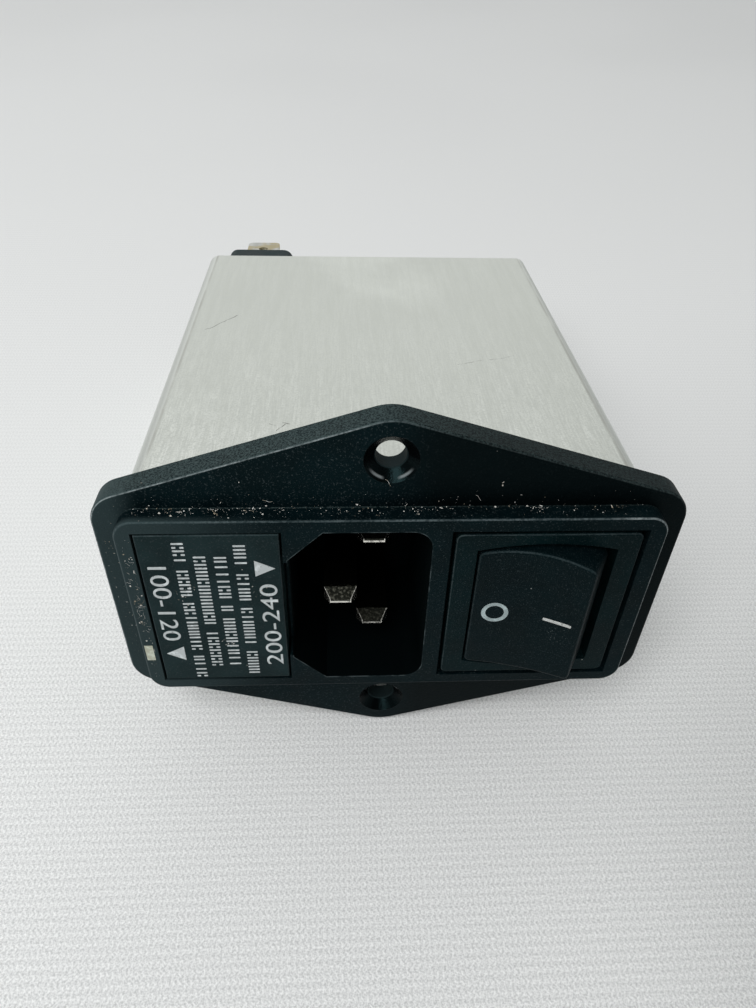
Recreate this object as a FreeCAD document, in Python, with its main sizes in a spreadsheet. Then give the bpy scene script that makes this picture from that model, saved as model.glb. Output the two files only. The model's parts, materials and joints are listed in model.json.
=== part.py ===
import FreeCAD, Part
import os
import re
import Sketcher

# Panel-mounted mains inlet with fuse drawer, rocker switch and filter can.
# Frame: origin midway between the screw holes on the flange's rear plane,
# +X right seen from the front, +Y into the panel, +Z up. Millimetres.

os.makedirs("parts", exist_ok=True)
doc = FreeCAD.newDocument("PowerEntryModule")
Vector = FreeCAD.Vector
NEAR = 0.005

SIZES = {
    # flange and bezel
    "flange_t": 3.2, "flange_shift": 0.58, "flange_w": 66.1, "flange_side": 29.3,
    "flange_apex": 50.3, "flange_corner": 4.0, "flange_tip": 5.6,
    "bezel_rise": 2.4, "bezel_w": 60.4, "bezel_h": 27.8, "bezel_corner": 2.4,
    "rim": 0.35, "front": 5.6,
    "screw_pitch": 40.0, "screw_bore": 3.4, "screw_sink": 1.25,
    # moulding behind the flange
    "shoulder": 1.5, "shoulder_w": 60.6, "shoulder_h": 28.5,
    "inner_w": 58.6, "inner_h": 26.6, "inner_rear": 26.0, "inner_corner": 2.0,
    "ledge_w": 5.0, "ledge_x": 20.0, "ledge_rear": 40.0,
    # drawer bay
    "bay_x": -19.75, "face_w": 16.0, "face_h": 24.6, "face_depth": 4.0,
    "bay_w": 14.9, "bay_h": 22.0, "bay_floor": 24.0,
    "notch_h": 15.8, "notch_depth": 3.0, "notch_past": 0.25,
    "marker_x": -28.76, "marker_z": -6.95, "marker_w": 1.0, "marker_h": 2.7, "marker_t": 0.5,
    # drawer and fuses
    "plate_w": 15.5, "plate_h": 24.1, "plate_t": 3.8, "plate_rim": 0.25,
    "carrier_w": 14.3, "carrier_h": 21.4, "carrier_rear": 22.5, "pry_t": 0.8, "pry_h": 12.0,
    "fuse_d": 5.2, "glass_d": 4.7, "glass_bore": 3.7, "fuse_len": 20.0,
    "fuse_side": 4.5, "fuse_y": 8.0, "cap_len": 5.2, "cap_end": 0.4, "wire_d": 0.4,
    "trough_play": 0.1,
    "jumper_t": 0.5, "jumper_w": 3.5, "jumper_len": 12.0,
    "select_z": 6.0, "post_d": 2.4, "post_y": 23.2,
    "spring_t": 0.5, "spring_w": 4.0, "spring_z": 8.0, "spring_y": 2.0, "tail_y": 31.0,
    "crest": 0.25, "crest_len": 2.0,
    # inlet
    "inlet_x": -3.275, "inlet_w": 16.05, "inlet_h": 24.4, "inlet_cut": 4.0,
    "inlet_round": 2.3, "inlet_depth": 20.0, "well_floor": 2.6,
    "pin_w": 4.0, "pin_t": 2.0, "pin_bevel": 1.5, "pin_angle": 26.0, "pin_pitch": 14.0,
    "live_x": -1.45, "earth_x": -5.45, "live_tip": -1.0, "earth_tip": -3.95,
    # switch case
    "switch_x": 17.75, "opening_w": 21.9, "opening_h": 24.4,
    "frame_w": 20.9, "frame_h": 23.4, "frame_t": 2.0, "frame_corner": 0.8,
    "case_w": 19.4, "case_h": 22.2, "case_rear": 14.0, "case_floor": 1.5,
    "cutout_w": 19.8, "cutout_h": 22.6,
    "window_w": 15.9, "window_h": 20.6, "window_edge": 18.77,
    "chamber_y": 2.0, "chamber_h": 19.0, "pole_y": 5.0, "barrier": 1.2, "pole_z": 5.0,
    # rocker
    "pivot_y": -2.15, "axle_d": 2.4, "bearing_d": 2.5, "axle_end": 10.95,
    "chord": 12.76, "reach": 5.65, "hollow_deep": 4.63,
    "skirt_w": 15.2, "skirt_y": 1.3, "foot_w": 11.0, "foot_y": 1.5,
    "rocker_h": 19.52, "rocker_edge": 17.69, "rocker_tilt": 15.4,
    "rocker_rim": 0.35, "rocker_corner": 0.8,
    "stem_d": 4.8, "stem_end": 7.0, "stem_floor": 1.0, "stem_bore": 3.0,
    # switch poles
    "plunger_d": 2.8, "plunger_top": 4.6, "plunger_round": 8.45,
    "coil_d": 2.0, "coil_wire": 0.4, "coil_turns": 4.0, "coil_pitch": 0.79,
    "lever_y": 8.2, "lever_len": 12.6, "lever_t": 0.8, "lever_w": 4.0, "lever_tilt": 8.0,
    "saddle_w": 5.2, "saddle_out": 5.68, "saddle_rise": 0.8, "bead_r": 0.85,
    "cradle_r": 0.9, "cradle_lip": 0.72, "cradle_mouth": 1.08, "cradle_w": 1.8, "cradle_h": 1.1,
    "button_d": 2.4, "button_t": 0.5, "contact_x": 4.9, "contact_y": 9.2, "step_in": 1.5,
    "blade_x": 6.1, "blade_t": 0.8, "blade_w": 4.8, "blade_end": 22.0,
    # can and rear terminals
    "can_shift": 0.3, "can_w": 60.0, "can_h": 28.0, "can_rear": 73.0,
    "can_wall": 0.6, "can_corner": 2.0, "can_edge": 1.4,
    "bushing_w": 12.4, "bushing_t": 3.5, "bushing_end": 80.0,
    "neck_w": 10.6, "neck_t": 2.4, "neck_in": 70.6,
    "tab_w": 6.3, "tab_t": 0.8, "tab_start": 66.0, "tab_end": 88.0,
    "tab_round": 1.0, "tab_hole": 1.8, "tab_hole_in": 3.6,
    "first_x": -20.8, "first_z": 10.5, "row_z": -9.5, "row_pitch": 21.1,
    "ground_x": 12.0, "ground_z": 5.0, "ground_h": 9.0, "ground_end": 81.0,
    "rivet_d": 3.0, "rivet_head": 5.0, "rivet_t": 0.9,
    # filter
    "board_w": 54.0, "board_start": 32.0, "board_end": 63.0, "board_top": -5.0, "board_t": 1.6,
    "core_x": -12.0, "core_y": 46.0, "core_out": 22.0, "core_in": 12.0, "core_t": 8.2,
    "copper_t": 0.8, "copper_turn": 130.0, "copper_start": 25.0,
    "box_x": 15.0, "box_y": 38.0, "box_w": 18.0, "box_d": 8.5, "box_h": 15.0,
    "disc_d": 8.5, "disc_t": 4.0, "disc_x": 8.0, "disc_y": 53.0, "disc_pitch": 13.0,
    "resistor_d": 3.2, "resistor_len": 9.0, "resistor_y": 47.5,
    "strap_w": 4.0, "strap_t": 0.5, "strap_y": 30.0, "strap_foot": 8.0,
}

sheet = doc.addObject("Spreadsheet::Sheet", "Dims")
for row, (name, size) in enumerate(SIZES.items(), start=1):
    sheet.set("A%d" % row, name)
    sheet.set("B%d" % row, str(size))
    sheet.setAlias("B%d" % row, name)
doc.recompute()


def product(word):
    """Value of one term such as bezel_w/2 or -rim."""
    sign = -1.0 if word.startswith("-") else 1.0
    top, _, bottom = word.lstrip("-").partition("/")
    size = SIZES[top] if top in SIZES else float(top)
    return sign * size / float(bottom or 1)


def number(text):
    """Value of a sum of terms set apart by spaced plus and minus signs."""
    total, sign = 0.0, 1.0
    for word in text.split():
        if word in "+-":
            sign = 1.0 if word == "+" else -1.0
        else:
            total += sign * product(word)
    return total


def formula(text):
    """The same sum as an expression on the sheet."""
    return re.sub(r"[a-z]\w*", lambda match: "Dims." + match.group(0), text)


def span(centre, width):
    """Low and high limits of a width about a centre, as sums."""
    return centre + " - " + width + "/2", centre + " + " + width + "/2"


def bind(thing, prop, text):
    thing.setExpression(prop, formula(text))


def place(thing, x="0", y="0", z="0", axis=None, angle="0"):
    """Puts a piece at x, y, z, turned about an axis through that point."""
    if axis:
        turn = FreeCAD.Rotation(Vector(*axis), number(angle))
        thing.Placement = FreeCAD.Placement(Vector(0, 0, 0), turn)
        thing.setExpression("Placement.Rotation.Angle", "(%s) * 1 deg" % formula(angle))
    for letter, text in zip("xyz", (x, y, z)):
        bind(thing, "Placement.Base." + letter, text)
    return thing


def new_body(label):
    body = doc.addObject("PartDesign::Body", label)
    body.Label = label
    return body


def new_sketch(body, role, height="0"):
    """Sketch on one of the body's origin planes, raised along the plane's normal."""
    plane = next(item for item in body.Origin.OriginFeatures if item.Role == role)
    sketch = body.newObject("Sketcher::SketchObject", body.Label + "_sketch")
    sketch.AttachmentSupport = [(plane, "")]
    sketch.MapMode = "FlatFace"
    bind(sketch, "AttachmentOffset.Base.z", height)
    return sketch


def fix_point(sketch, item, end, x, y):
    """Holds a point of the sketch at x, y measured from its origin."""
    for kind, text, axis in (("DistanceX", x, -2), ("DistanceY", y, -1)):
        if text == "0":
            sketch.addConstraint(Sketcher.Constraint("PointOnObject", item, end, axis))
            continue
        index = sketch.addConstraint(Sketcher.Constraint(kind, -1, 1, item, end, number(text)))
        bind(sketch, "Constraints[%d]" % index, text)


def outline(sketch, points):
    """Closed loop; a point of four values is reached by an arc that passes through its last two."""
    first = sketch.GeometryCount
    spots = [Vector(number(point[0]), number(point[1]), 0) for point in points]
    ends = []
    for index, point in enumerate(points):
        start, stop = spots[index - 1], spots[index]
        ends.append((1, 2))
        if len(point) == 2:
            sketch.addGeometry(Part.LineSegment(start, stop), False)
            continue
        middle = Vector(number(point[2]), number(point[3]), 0)
        if (middle - start).cross(stop - start).z < 0:
            start, stop = stop, start
            ends[-1] = (2, 1)
        sketch.addGeometry(Part.Arc(start, middle, stop), False)
    for index in range(len(points)):
        follow = (index + 1) % len(points)
        sketch.addConstraint(Sketcher.Constraint(
            "Coincident", first + index, ends[index][1], first + follow, ends[follow][0]))
    for index, point in enumerate(points):
        fix_point(sketch, first + index, ends[index][1], point[0], point[1])
        if len(point) == 4:
            middle = Vector(number(point[2]), number(point[3]), 0)
            item = sketch.addGeometry(Part.Point(middle), True)
            sketch.addConstraint(Sketcher.Constraint("PointOnObject", item, 1, first + index))
            fix_point(sketch, item, 1, point[2], point[3])


def window(sketch, x, y):
    """Rectangle between the low and high limits x and y."""
    outline(sketch, [(x[0], y[0]), (x[1], y[0]), (x[1], y[1]), (x[0], y[1])])


def rectangle(sketch, x, y, width, height):
    """Rectangle centred on x, y."""
    window(sketch, span(x, width), span(y, height))


def circle(sketch, x, y, diameter):
    ring = Part.Circle(Vector(number(x), number(y), 0), Vector(0, 0, 1), number(diameter) / 2)
    item = sketch.addGeometry(ring, False)
    fix_point(sketch, item, 3, x, y)
    index = sketch.addConstraint(Sketcher.Constraint("Diameter", item, number(diameter)))
    bind(sketch, "Constraints[%d]" % index, diameter)


def stadium(sketch, x, y, width, height):
    """Slot with round ends, centred on x, y."""
    left, right = span(x, width)
    low, high = span(y, height)
    round_left = left + " + " + height + "/2"
    round_right = right + " - " + height + "/2"
    outline(sketch, [(round_right, low), (round_right, high, right, y),
                     (round_left, high), (round_left, low, left, y)])


def pad(body, sketch, length, flip=False, taper=None):
    feature = body.newObject("PartDesign::Pad", body.Label + "_pad")
    feature.Profile = sketch
    feature.Reversed = flip
    bind(feature, "Length", length)
    if taper:
        feature.setExpression("TaperAngle", "-(%s) * 1 deg" % formula(taper))
    sketch.Visibility = False
    return feature


def pocket(body, sketch, length=None, flip=False):
    """Cut to a depth, or right through where no length is given; it has to take material away."""
    doc.recompute()
    before = body.Tip.Shape.Volume
    feature = body.newObject("PartDesign::Pocket", body.Label + "_pocket")
    feature.Profile = sketch
    feature.Reversed = flip
    if length:
        bind(feature, "Length", length)
    else:
        feature.Type = "ThroughAll"
    sketch.Visibility = False
    doc.recompute()
    if feature.Shape.Volume > before - NEAR:
        raise RuntimeError(body.Label + ": a pocket cuts nothing")
    return feature


def dress(body, kind, prop, size, chosen):
    """Fillet or chamfer on the edges that chosen() accepts."""
    doc.recompute()
    base = body.Tip
    names = ["Edge%d" % (i + 1) for i, edge in enumerate(base.Shape.Edges) if chosen(edge)]
    feature = body.newObject("PartDesign::" + kind, body.Label + "_" + kind.lower())
    feature.Base = (base, names)
    bind(feature, prop, size)
    doc.recompute()
    return feature


def fillet(body, size, chosen):
    return dress(body, "Fillet", "Radius", size, chosen)


def runs_along(edge, axis):
    """True for a straight edge along the axis numbered 0, 1 or 2."""
    if edge.Curve.TypeId != "Part::GeomLine":
        return False
    return abs(edge.tangentAt(edge.FirstParameter)[axis]) > 1 - NEAR


def flat_at(edge, axis, level):
    """True for an edge that lies wholly in the plane where the axis has this level."""
    box = edge.BoundBox
    low = (box.XMin, box.YMin, box.ZMin)[axis]
    high = (box.XMax, box.YMax, box.ZMax)[axis]
    return abs(low - level) < NEAR and abs(high - level) < NEAR


def farthest(edge, axis, centre=0.0):
    """Largest distance of the edge's ends from a centre along one axis."""
    return max(abs(vertex.Point[axis] - centre) for vertex in edge.Vertexes)


def cylinder(label, diameter, length):
    rod = doc.addObject("Part::Cylinder", label)
    rod.Label = label
    bind(rod, "Radius", diameter + "/2")
    bind(rod, "Height", length)
    return rod


def along_y(label, diameter, start, end, x="0", z="0"):
    """Round bar along Y between two depths."""
    rod = cylinder(label, diameter, "(" + end + ") - (" + start + ")")
    return place(rod, x, start, z, (1, 0, 0), "-90")


def block(label, x, y, z):
    """Box given by its low and high limits on each axis."""
    box = doc.addObject("Part::Box", label)
    box.Label = label
    for prop, limits in (("Length", x), ("Width", y), ("Height", z)):
        bind(box, prop, "(" + limits[1] + ") - (" + limits[0] + ")")
    return place(box, x[0], y[0], z[0])


def join(label, pieces):
    fused = doc.addObject("Part::MultiFuse", label)
    fused.Label = label
    fused.Shapes = pieces
    return fused


# Front moulding: flange, bezel, inner block, bays and well in one piece.
def make_flange(body):
    plate = new_sketch(body, "XZ_Plane")
    left, right = span("flange_shift", "flange_w")
    side, apex = "flange_side/2", "flange_apex/2"
    outline(plate, [(left, "-" + side), ("0", "-" + apex), (right, "-" + side),
                    (right, side), ("0", apex), (left, side)])
    pad(body, plate, "flange_t")
    half = number("flange_w/4")
    fillet(body, "flange_corner", lambda e: runs_along(e, 1) and farthest(e, 0) > half)
    fillet(body, "flange_tip", lambda e: runs_along(e, 1) and farthest(e, 0) < NEAR)
    bezel = new_sketch(body, "XZ_Plane", "flange_t")
    rectangle(bezel, "flange_shift", "0", "bezel_w", "bezel_h")
    pad(body, bezel, "bezel_rise")
    front, face = -number("front"), -number("flange_t")
    fillet(body, "bezel_corner", lambda e: runs_along(e, 1) and e.BoundBox.YMin < front + NEAR)
    shift = number("flange_shift")
    wide, high = number("bezel_w/2 + rim"), number("bezel_h/2 + rim")
    fillet(body, "rim", lambda e: flat_at(e, 1, front) or (
        flat_at(e, 1, face) and (farthest(e, 0, shift) > wide or farthest(e, 2) > high)))
    steps = (("shoulder_w", "shoulder_h", "shoulder"), ("inner_w", "inner_h", "inner_rear"))
    for width, height, depth in steps:
        rear = new_sketch(body, "XZ_Plane")
        rectangle(rear, "can_shift", "0", width, height)
        pad(body, rear, depth, flip=True)
    middle = number("can_shift")
    side, top = number("inner_w/2"), number("inner_h/2")
    fillet(body, "inner_corner", lambda e: runs_along(e, 1)
           and abs(farthest(e, 0, middle) - side) < NEAR and abs(farthest(e, 2) - top) < NEAR)


def make_housing():
    body = new_body("front_housing")
    make_flange(body)

    def cut(draw, start, depth):
        """Pocket whose sketch lies at the distance start in front of the panel plane."""
        sketch = new_sketch(body, "XZ_Plane", start)
        draw(sketch)
        pocket(body, sketch, depth)

    cut(lambda s: rectangle(s, "bay_x", "0", "face_w", "face_h"), "front", "face_depth")
    cut(lambda s: rectangle(s, "bay_x", "0", "bay_w", "bay_h"), "front", "front + bay_floor")
    cut(lambda s: rectangle(s, "switch_x", "0", "opening_w", "opening_h"), "front", "frame_t")
    cut(lambda s: rectangle(s, "switch_x", "0", "cutout_w", "cutout_h"), "front", "front + inner_rear")
    left, right = span("inlet_x", "inlet_w")
    low, high = span("0", "inlet_h")
    cut_low, cut_high = low + " + inlet_cut", high + " - inlet_cut"
    well = [(left + " + inlet_cut", low), (right, low), (right, high),
            (left + " + inlet_cut", high), (left, cut_high), (left, cut_low)]
    cut(lambda s: outline(s, well), "front", "inlet_depth")
    corner_x, corner_z = number(right), number(high)
    fillet(body, "inlet_round", lambda e: runs_along(e, 1) and farthest(e, 0, corner_x) < NEAR
           and abs(farthest(e, 2) - corner_z) < NEAR)
    notch = ("bay_x + face_w/2 - notch_past", left + " + notch_past")
    cut(lambda s: window(s, notch, span("0", "notch_h")), "front", "notch_depth")
    cut(lambda s: rectangle(s, "marker_x", "marker_z", "marker_w", "marker_h"), "front", "marker_t")
    behind = "inner_rear + front - inlet_depth - well_floor"
    cut(lambda s: window(s, (left + " + rim", right), (cut_low, cut_high)),
        "front - inlet_depth - well_floor", behind)
    for x, z in (("live_x", "pin_pitch/2"), ("live_x", "-pin_pitch/2"), ("earth_x", "0")):
        cut(lambda s: rectangle(s, x, z, "pin_w", "pin_t"), "0", "inner_rear")
    for side in ("bay_x - bay_w/2 - spring_t/2", "bay_x + bay_w/2 + spring_t/2"):
        for z in ("spring_z", "-spring_z"):
            cut(lambda s: rectangle(s, side, z, "spring_t", "spring_w"),
                "-spring_y", "inner_rear - spring_y")
    for x in ("bay_x - fuse_side", "bay_x + fuse_side"):
        for z in ("select_z", "-select_z"):
            cut(lambda s: circle(s, x, z, "post_d"), "-post_y", "inner_rear - post_y")
    for z in ("screw_pitch/2", "-screw_pitch/2"):
        cut(lambda s: circle(s, "0", z, "screw_bore"), "front", "front + inner_rear")
    bore, face = number("screw_bore/2"), -number("flange_t")
    dress(body, "Chamfer", "Size", "screw_sink", lambda e: flat_at(e, 1, face)
          and e.Curve.TypeId == "Part::GeomCircle" and abs(e.Curve.Radius - bore) < NEAR)
    for x in ("-ledge_x", "ledge_x"):
        shelf = new_sketch(body, "XZ_Plane", "-inner_rear")
        window(shelf, span(x, "ledge_w"), ("-inner_h/2", "board_top - board_t"))
        pad(body, shelf, "ledge_rear - inner_rear", flip=True)
    return body


def make_pin(label, x, z, tip):
    """Flat pin with a bevelled tip, its tail standing out behind the moulding."""
    body = new_body(label)
    shank = new_sketch(body, "XZ_Plane")
    rectangle(shank, "0", "0", "pin_w", "pin_t")
    pad(body, shank, "tail_y - " + tip + " - pin_bevel", flip=True)
    end = new_sketch(body, "XZ_Plane")
    rectangle(end, "0", "0", "pin_w", "pin_t")
    pad(body, end, "pin_bevel", taper="pin_angle")
    return place(body, x, tip + " + pin_bevel", z)


# Pull-out carrier: face plate, block with a trough for each fuse, groove for prying it out.
def make_drawer():
    body = new_body("fuse_drawer")
    plate = new_sketch(body, "XZ_Plane", "front")
    rectangle(plate, "0", "0", "plate_w", "plate_h")
    pad(body, plate, "plate_t", flip=True)
    front = -number("front")
    fillet(body, "plate_rim", lambda e: flat_at(e, 1, front))
    carrier = new_sketch(body, "XZ_Plane", "front - plate_t")
    rectangle(carrier, "0", "0", "carrier_w", "carrier_h")
    pad(body, carrier, "carrier_rear + front - plate_t", flip=True)
    trough = new_sketch(body, "XY_Plane", "fuse_len/2 + trough_play")
    near_far = span("fuse_y", "fuse_d")
    window(trough, ("fuse_side - fuse_d/2", "carrier_w/2"), near_far)
    window(trough, ("-carrier_w/2", "fuse_d/2 - fuse_side"), near_far)
    pocket(body, trough, "fuse_len + trough_play + trough_play")
    pry = new_sketch(body, "XZ_Plane", "front - pry_t")
    window(pry, ("plate_w/2 - pry_t", "plate_w/2"), span("0", "pry_h"))
    pocket(body, pry, "pry_t")
    return place(body, "bay_x")


# Cartridge fuse: glass tube, wire and a cap at each end.
def make_fuse(index, x):
    tube = new_body("fuse_tube_%d" % index)
    ring = new_sketch(tube, "XY_Plane", "cap_end - fuse_len/2")
    circle(ring, "0", "0", "glass_d")
    circle(ring, "0", "0", "glass_bore")
    pad(tube, ring, "fuse_len - cap_end - cap_end")
    place(tube, x, "fuse_y")
    wire = cylinder("fuse_wire_%d" % index, "wire_d", "fuse_len - cap_end - cap_end")
    place(wire, x, "fuse_y", "cap_end - fuse_len/2")
    pieces = [tube, wire]
    for name, angle in (("upper", "0"), ("lower", "180")):
        cap = new_body("fuse_cap_%s_%d" % (name, index))
        shell = new_sketch(cap, "XY_Plane", "fuse_len/2 - cap_len")
        circle(shell, "0", "0", "fuse_d")
        pad(cap, shell, "cap_len")
        bore = new_sketch(cap, "XY_Plane", "fuse_len/2 - cap_len")
        circle(bore, "0", "0", "glass_d")
        pocket(cap, bore, "cap_len - cap_end", flip=True)
        pieces.append(place(cap, x, "fuse_y", "0", (1, 0, 0), angle))
    return pieces


# Leaf in the bay wall, its crest turned to the fuse cap.
def make_leaf(index, side, z):
    leaf = new_body("fuse_contact_%d" % index)
    profile = new_sketch(leaf, "XY_Plane", "-spring_w/2")
    near, far = span("fuse_y", "crest_len")
    outline(profile, [("0", "spring_y"), ("0", near), ("0", far, "crest", "fuse_y"),
                      ("0", "tail_y"), ("-spring_t", "tail_y"), ("-spring_t", "spring_y")])
    pad(leaf, profile, "spring_w")
    turn = "0" if side == "-" else "180"
    return place(leaf, "bay_x %s bay_w/2" % side, "0", z, (0, 1, 0), turn)


# Strips across the back of the drawer and the posts and leaves that they and the fuses meet.
def make_selector():
    pieces = []
    for index, z in enumerate(("select_z", "-select_z"), start=1):
        pieces.append(block("selector_jumper_%d" % index, span("bay_x", "jumper_len"),
                            ("carrier_rear", "carrier_rear + jumper_t"), span(z, "jumper_w")))
    corners = [(side, sign) for sign in ("", "-") for side in ("-", "+")]
    for index, (side, sign) in enumerate(corners, start=1):
        pieces.append(make_leaf(index, side, sign + "spring_z"))
        pieces.append(along_y("selector_contact_%d" % index, "post_d", "post_y", "tail_y",
                              "bay_x %s fuse_side" % side, sign + "select_z"))
    return pieces


# Switch case with its frame: window for the rocker, a chamber for each pole.
def make_switch_case():
    body = new_body("switch_body")
    frame = new_sketch(body, "XZ_Plane", "front")
    rectangle(frame, "0", "0", "frame_w", "frame_h")
    pad(body, frame, "frame_t", flip=True)
    front = -number("front")
    fillet(body, "frame_corner", lambda e: runs_along(e, 1))
    fillet(body, "plate_rim", lambda e: flat_at(e, 1, front))
    case = new_sketch(body, "XZ_Plane", "front - frame_t")
    rectangle(case, "0", "0", "case_w", "case_h")
    pad(body, case, "case_rear + front - frame_t", flip=True)
    mouth = new_sketch(body, "XZ_Plane", "front")
    half, edge, crest = "window_w/2", "window_edge/2", "window_h/2"
    outline(mouth, [(half, "-" + edge, "0", "-" + crest), (half, edge),
                    ("-" + half, edge, "0", crest), ("-" + half, "-" + edge)])
    pocket(body, mouth, "front + chamber_y")
    chamber = new_sketch(body, "XZ_Plane", "-chamber_y")
    rectangle(chamber, "0", "0", "window_w", "chamber_h")
    pocket(body, chamber, "pole_y - chamber_y")
    poles = new_sketch(body, "XZ_Plane", "-pole_y")
    for limits in (("barrier/2", "chamber_h/2"), ("-chamber_h/2", "-barrier/2")):
        window(poles, span("0", "window_w"), limits)
    pocket(body, poles, "case_rear - case_floor - pole_y")
    slots = new_sketch(body, "XZ_Plane", "-case_rear")
    for x in ("0", "-blade_x"):
        for z in ("pole_z", "-pole_z"):
            rectangle(slots, x, z, "blade_t", "blade_w")
    pocket(body, slots, "case_floor", flip=True)
    bearing = new_sketch(body, "XY_Plane", "case_h/2")
    circle(bearing, "0", "pivot_y", "bearing_d")
    pocket(body, bearing)
    return place(body, "switch_x")


# Rocker about its pivot: hollow face, barrel-shaped ends, axle stubs, a stem for each plunger.
def make_rocker():
    body = new_body("rocker")
    side = new_sketch(body, "XY_Plane", "-rocker_h/2")
    outline(side, [("chord/2", "-reach"), ("-chord/2", "-reach", "0", "-hollow_deep"),
                   ("-skirt_w/2", "-skirt_y"), ("-foot_w/2", "foot_y"),
                   ("foot_w/2", "foot_y"), ("skirt_w/2", "-skirt_y")])
    pad(body, side, "rocker_h")
    for sign in ("", "-"):
        trim = new_sketch(body, "XZ_Plane", "reach + foot_y")
        edge, crest = sign + "rocker_edge/2", sign + "rocker_h/2"
        past = sign + "frame_h/2"
        outline(trim, [("window_w/2", past), ("window_w/2", edge),
                       ("-window_w/2", edge, "0", crest), ("-window_w/2", past)])
        pocket(body, trim)
    face, skirt, hollow = -number("reach"), -number("skirt_y"), -number("hollow_deep")
    fillet(body, "rocker_corner", lambda e: abs(e.BoundBox.YMin - face) < NEAR
           and abs(e.BoundBox.YMax - skirt) < NEAR)
    fillet(body, "rocker_rim", lambda e: e.BoundBox.YMax < hollow + NEAR)
    stems = new_sketch(body, "XZ_Plane", "-foot_y")
    bores = new_sketch(body, "XZ_Plane", "-stem_end")
    for z in ("pole_z", "-pole_z"):
        circle(stems, "0", z, "stem_d")
        circle(bores, "0", z, "stem_bore")
    pad(body, stems, "stem_end - foot_y", flip=True)
    pocket(body, bores, "stem_end - stem_floor", flip=True)
    for start in ("rocker_h/2 - rocker_corner", "-axle_end"):
        axle = new_sketch(body, "XY_Plane", start)
        circle(axle, "0", "0", "axle_d")
        pad(body, axle, "axle_end - rocker_h/2 + rocker_corner")
    return place(body, "switch_x", "pivot_y", "0", (0, 0, 1), "-rocker_tilt")


# Sprung plunger in the rocker's stem.
def make_plunger(index, z):
    rod = along_y("rod_%d" % index, "plunger_d", "plunger_top", "plunger_round")
    nose = doc.addObject("Part::Sphere", "nose_%d" % index)
    bind(nose, "Radius", "plunger_d/2")
    place(nose, "0", "plunger_round", "0")
    plunger = join("plunger_%d" % index, [rod, nose])
    place(plunger, "switch_x", "pivot_y", z, (0, 0, 1), "-rocker_tilt")
    coil = new_body("plunger_spring_%d" % index)
    wire = new_sketch(coil, "XY_Plane")
    rectangle(wire, "coil_d/2", "stem_floor + coil_wire/2", "coil_wire", "coil_wire")
    helix = coil.newObject("PartDesign::AdditiveHelix", "coil_%d" % index)
    helix.Profile = wire
    helix.ReferenceAxis = (wire, ["V_Axis"])
    helix.Mode = "pitch-turns-angle"
    bind(helix, "Pitch", "coil_pitch")
    bind(helix, "Turns", "coil_turns")
    place(coil, "switch_x", "pivot_y", z, (0, 0, 1), "-rocker_tilt")
    return [plunger, coil]


# See-saw lever: saddle that the plunger rides in, bead that rocks in the cradle, contact button.
def make_lever(index, z):
    lever = new_body("contact_lever_%d" % index)
    side = new_sketch(lever, "XY_Plane", "-lever_w/2")
    top, under = "-lever_t/2 - saddle_rise", "lever_t/2 - saddle_rise"
    outline(side, [("-lever_len/2", under), ("-saddle_out/2", under),
                   ("saddle_out/2", under, "0", "lever_t/2"),
                   ("lever_len/2", under), ("lever_len/2", top),
                   ("saddle_w/2", top), ("-saddle_w/2", top, "0", "-lever_t/2"), ("-lever_len/2", top)])
    pad(lever, side, "lever_w")
    bead = new_sketch(lever, "XY_Plane", "-lever_w/2")
    outline(bead, [("bead_r", "0"), ("-bead_r", "0", "0", "bead_r")])
    pad(lever, bead, "lever_w")
    button = new_sketch(lever, "XZ_Plane", "saddle_rise - lever_t/2")
    circle(button, "-contact_x", "0", "button_d")
    pad(lever, button, "button_t", flip=True)
    return place(lever, "switch_x", "lever_y", z, (0, 0, 1), "lever_tilt")


# Fixed terminals of one pole: a blade with the lever's cradle, and an angled blade with a stud.
def make_blades(index, z):
    hinge = new_body("hinge_terminal_%d" % index)
    cradle = new_sketch(hinge, "XY_Plane", "-blade_w/2")
    lip, neck = "lever_y + cradle_lip", "lever_y + cradle_lip + cradle_h"
    outline(cradle, [("blade_t/2", "blade_end"), ("blade_t/2", neck),
                     ("cradle_w/2", neck), ("cradle_w/2", lip), ("cradle_mouth/2", lip),
                     ("-cradle_mouth/2", lip, "0", "lever_y + cradle_r"),
                     ("-cradle_w/2", lip), ("-cradle_w/2", neck),
                     ("-blade_t/2", neck), ("-blade_t/2", "blade_end")])
    pad(hinge, cradle, "blade_w")
    contact = new_body("contact_terminal_%d" % index)
    angle = new_sketch(contact, "XY_Plane", "-blade_w/2")
    outer, inner = span("-blade_x", "blade_t")
    seat, under = "contact_y + button_t", "contact_y + button_t + blade_t"
    outline(angle, [(outer, seat), ("step_in - contact_x", seat), ("step_in - contact_x", under),
                    (inner, under), (inner, "blade_end"), (outer, "blade_end")])
    pad(contact, angle, "blade_w")
    stud = new_sketch(contact, "XZ_Plane", "-contact_y")
    circle(stud, "-contact_x", "0", "button_d")
    pad(contact, stud, "button_t", flip=True)
    return [place(hinge, "switch_x", "0", z), place(contact, "switch_x", "0", z)]


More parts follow.
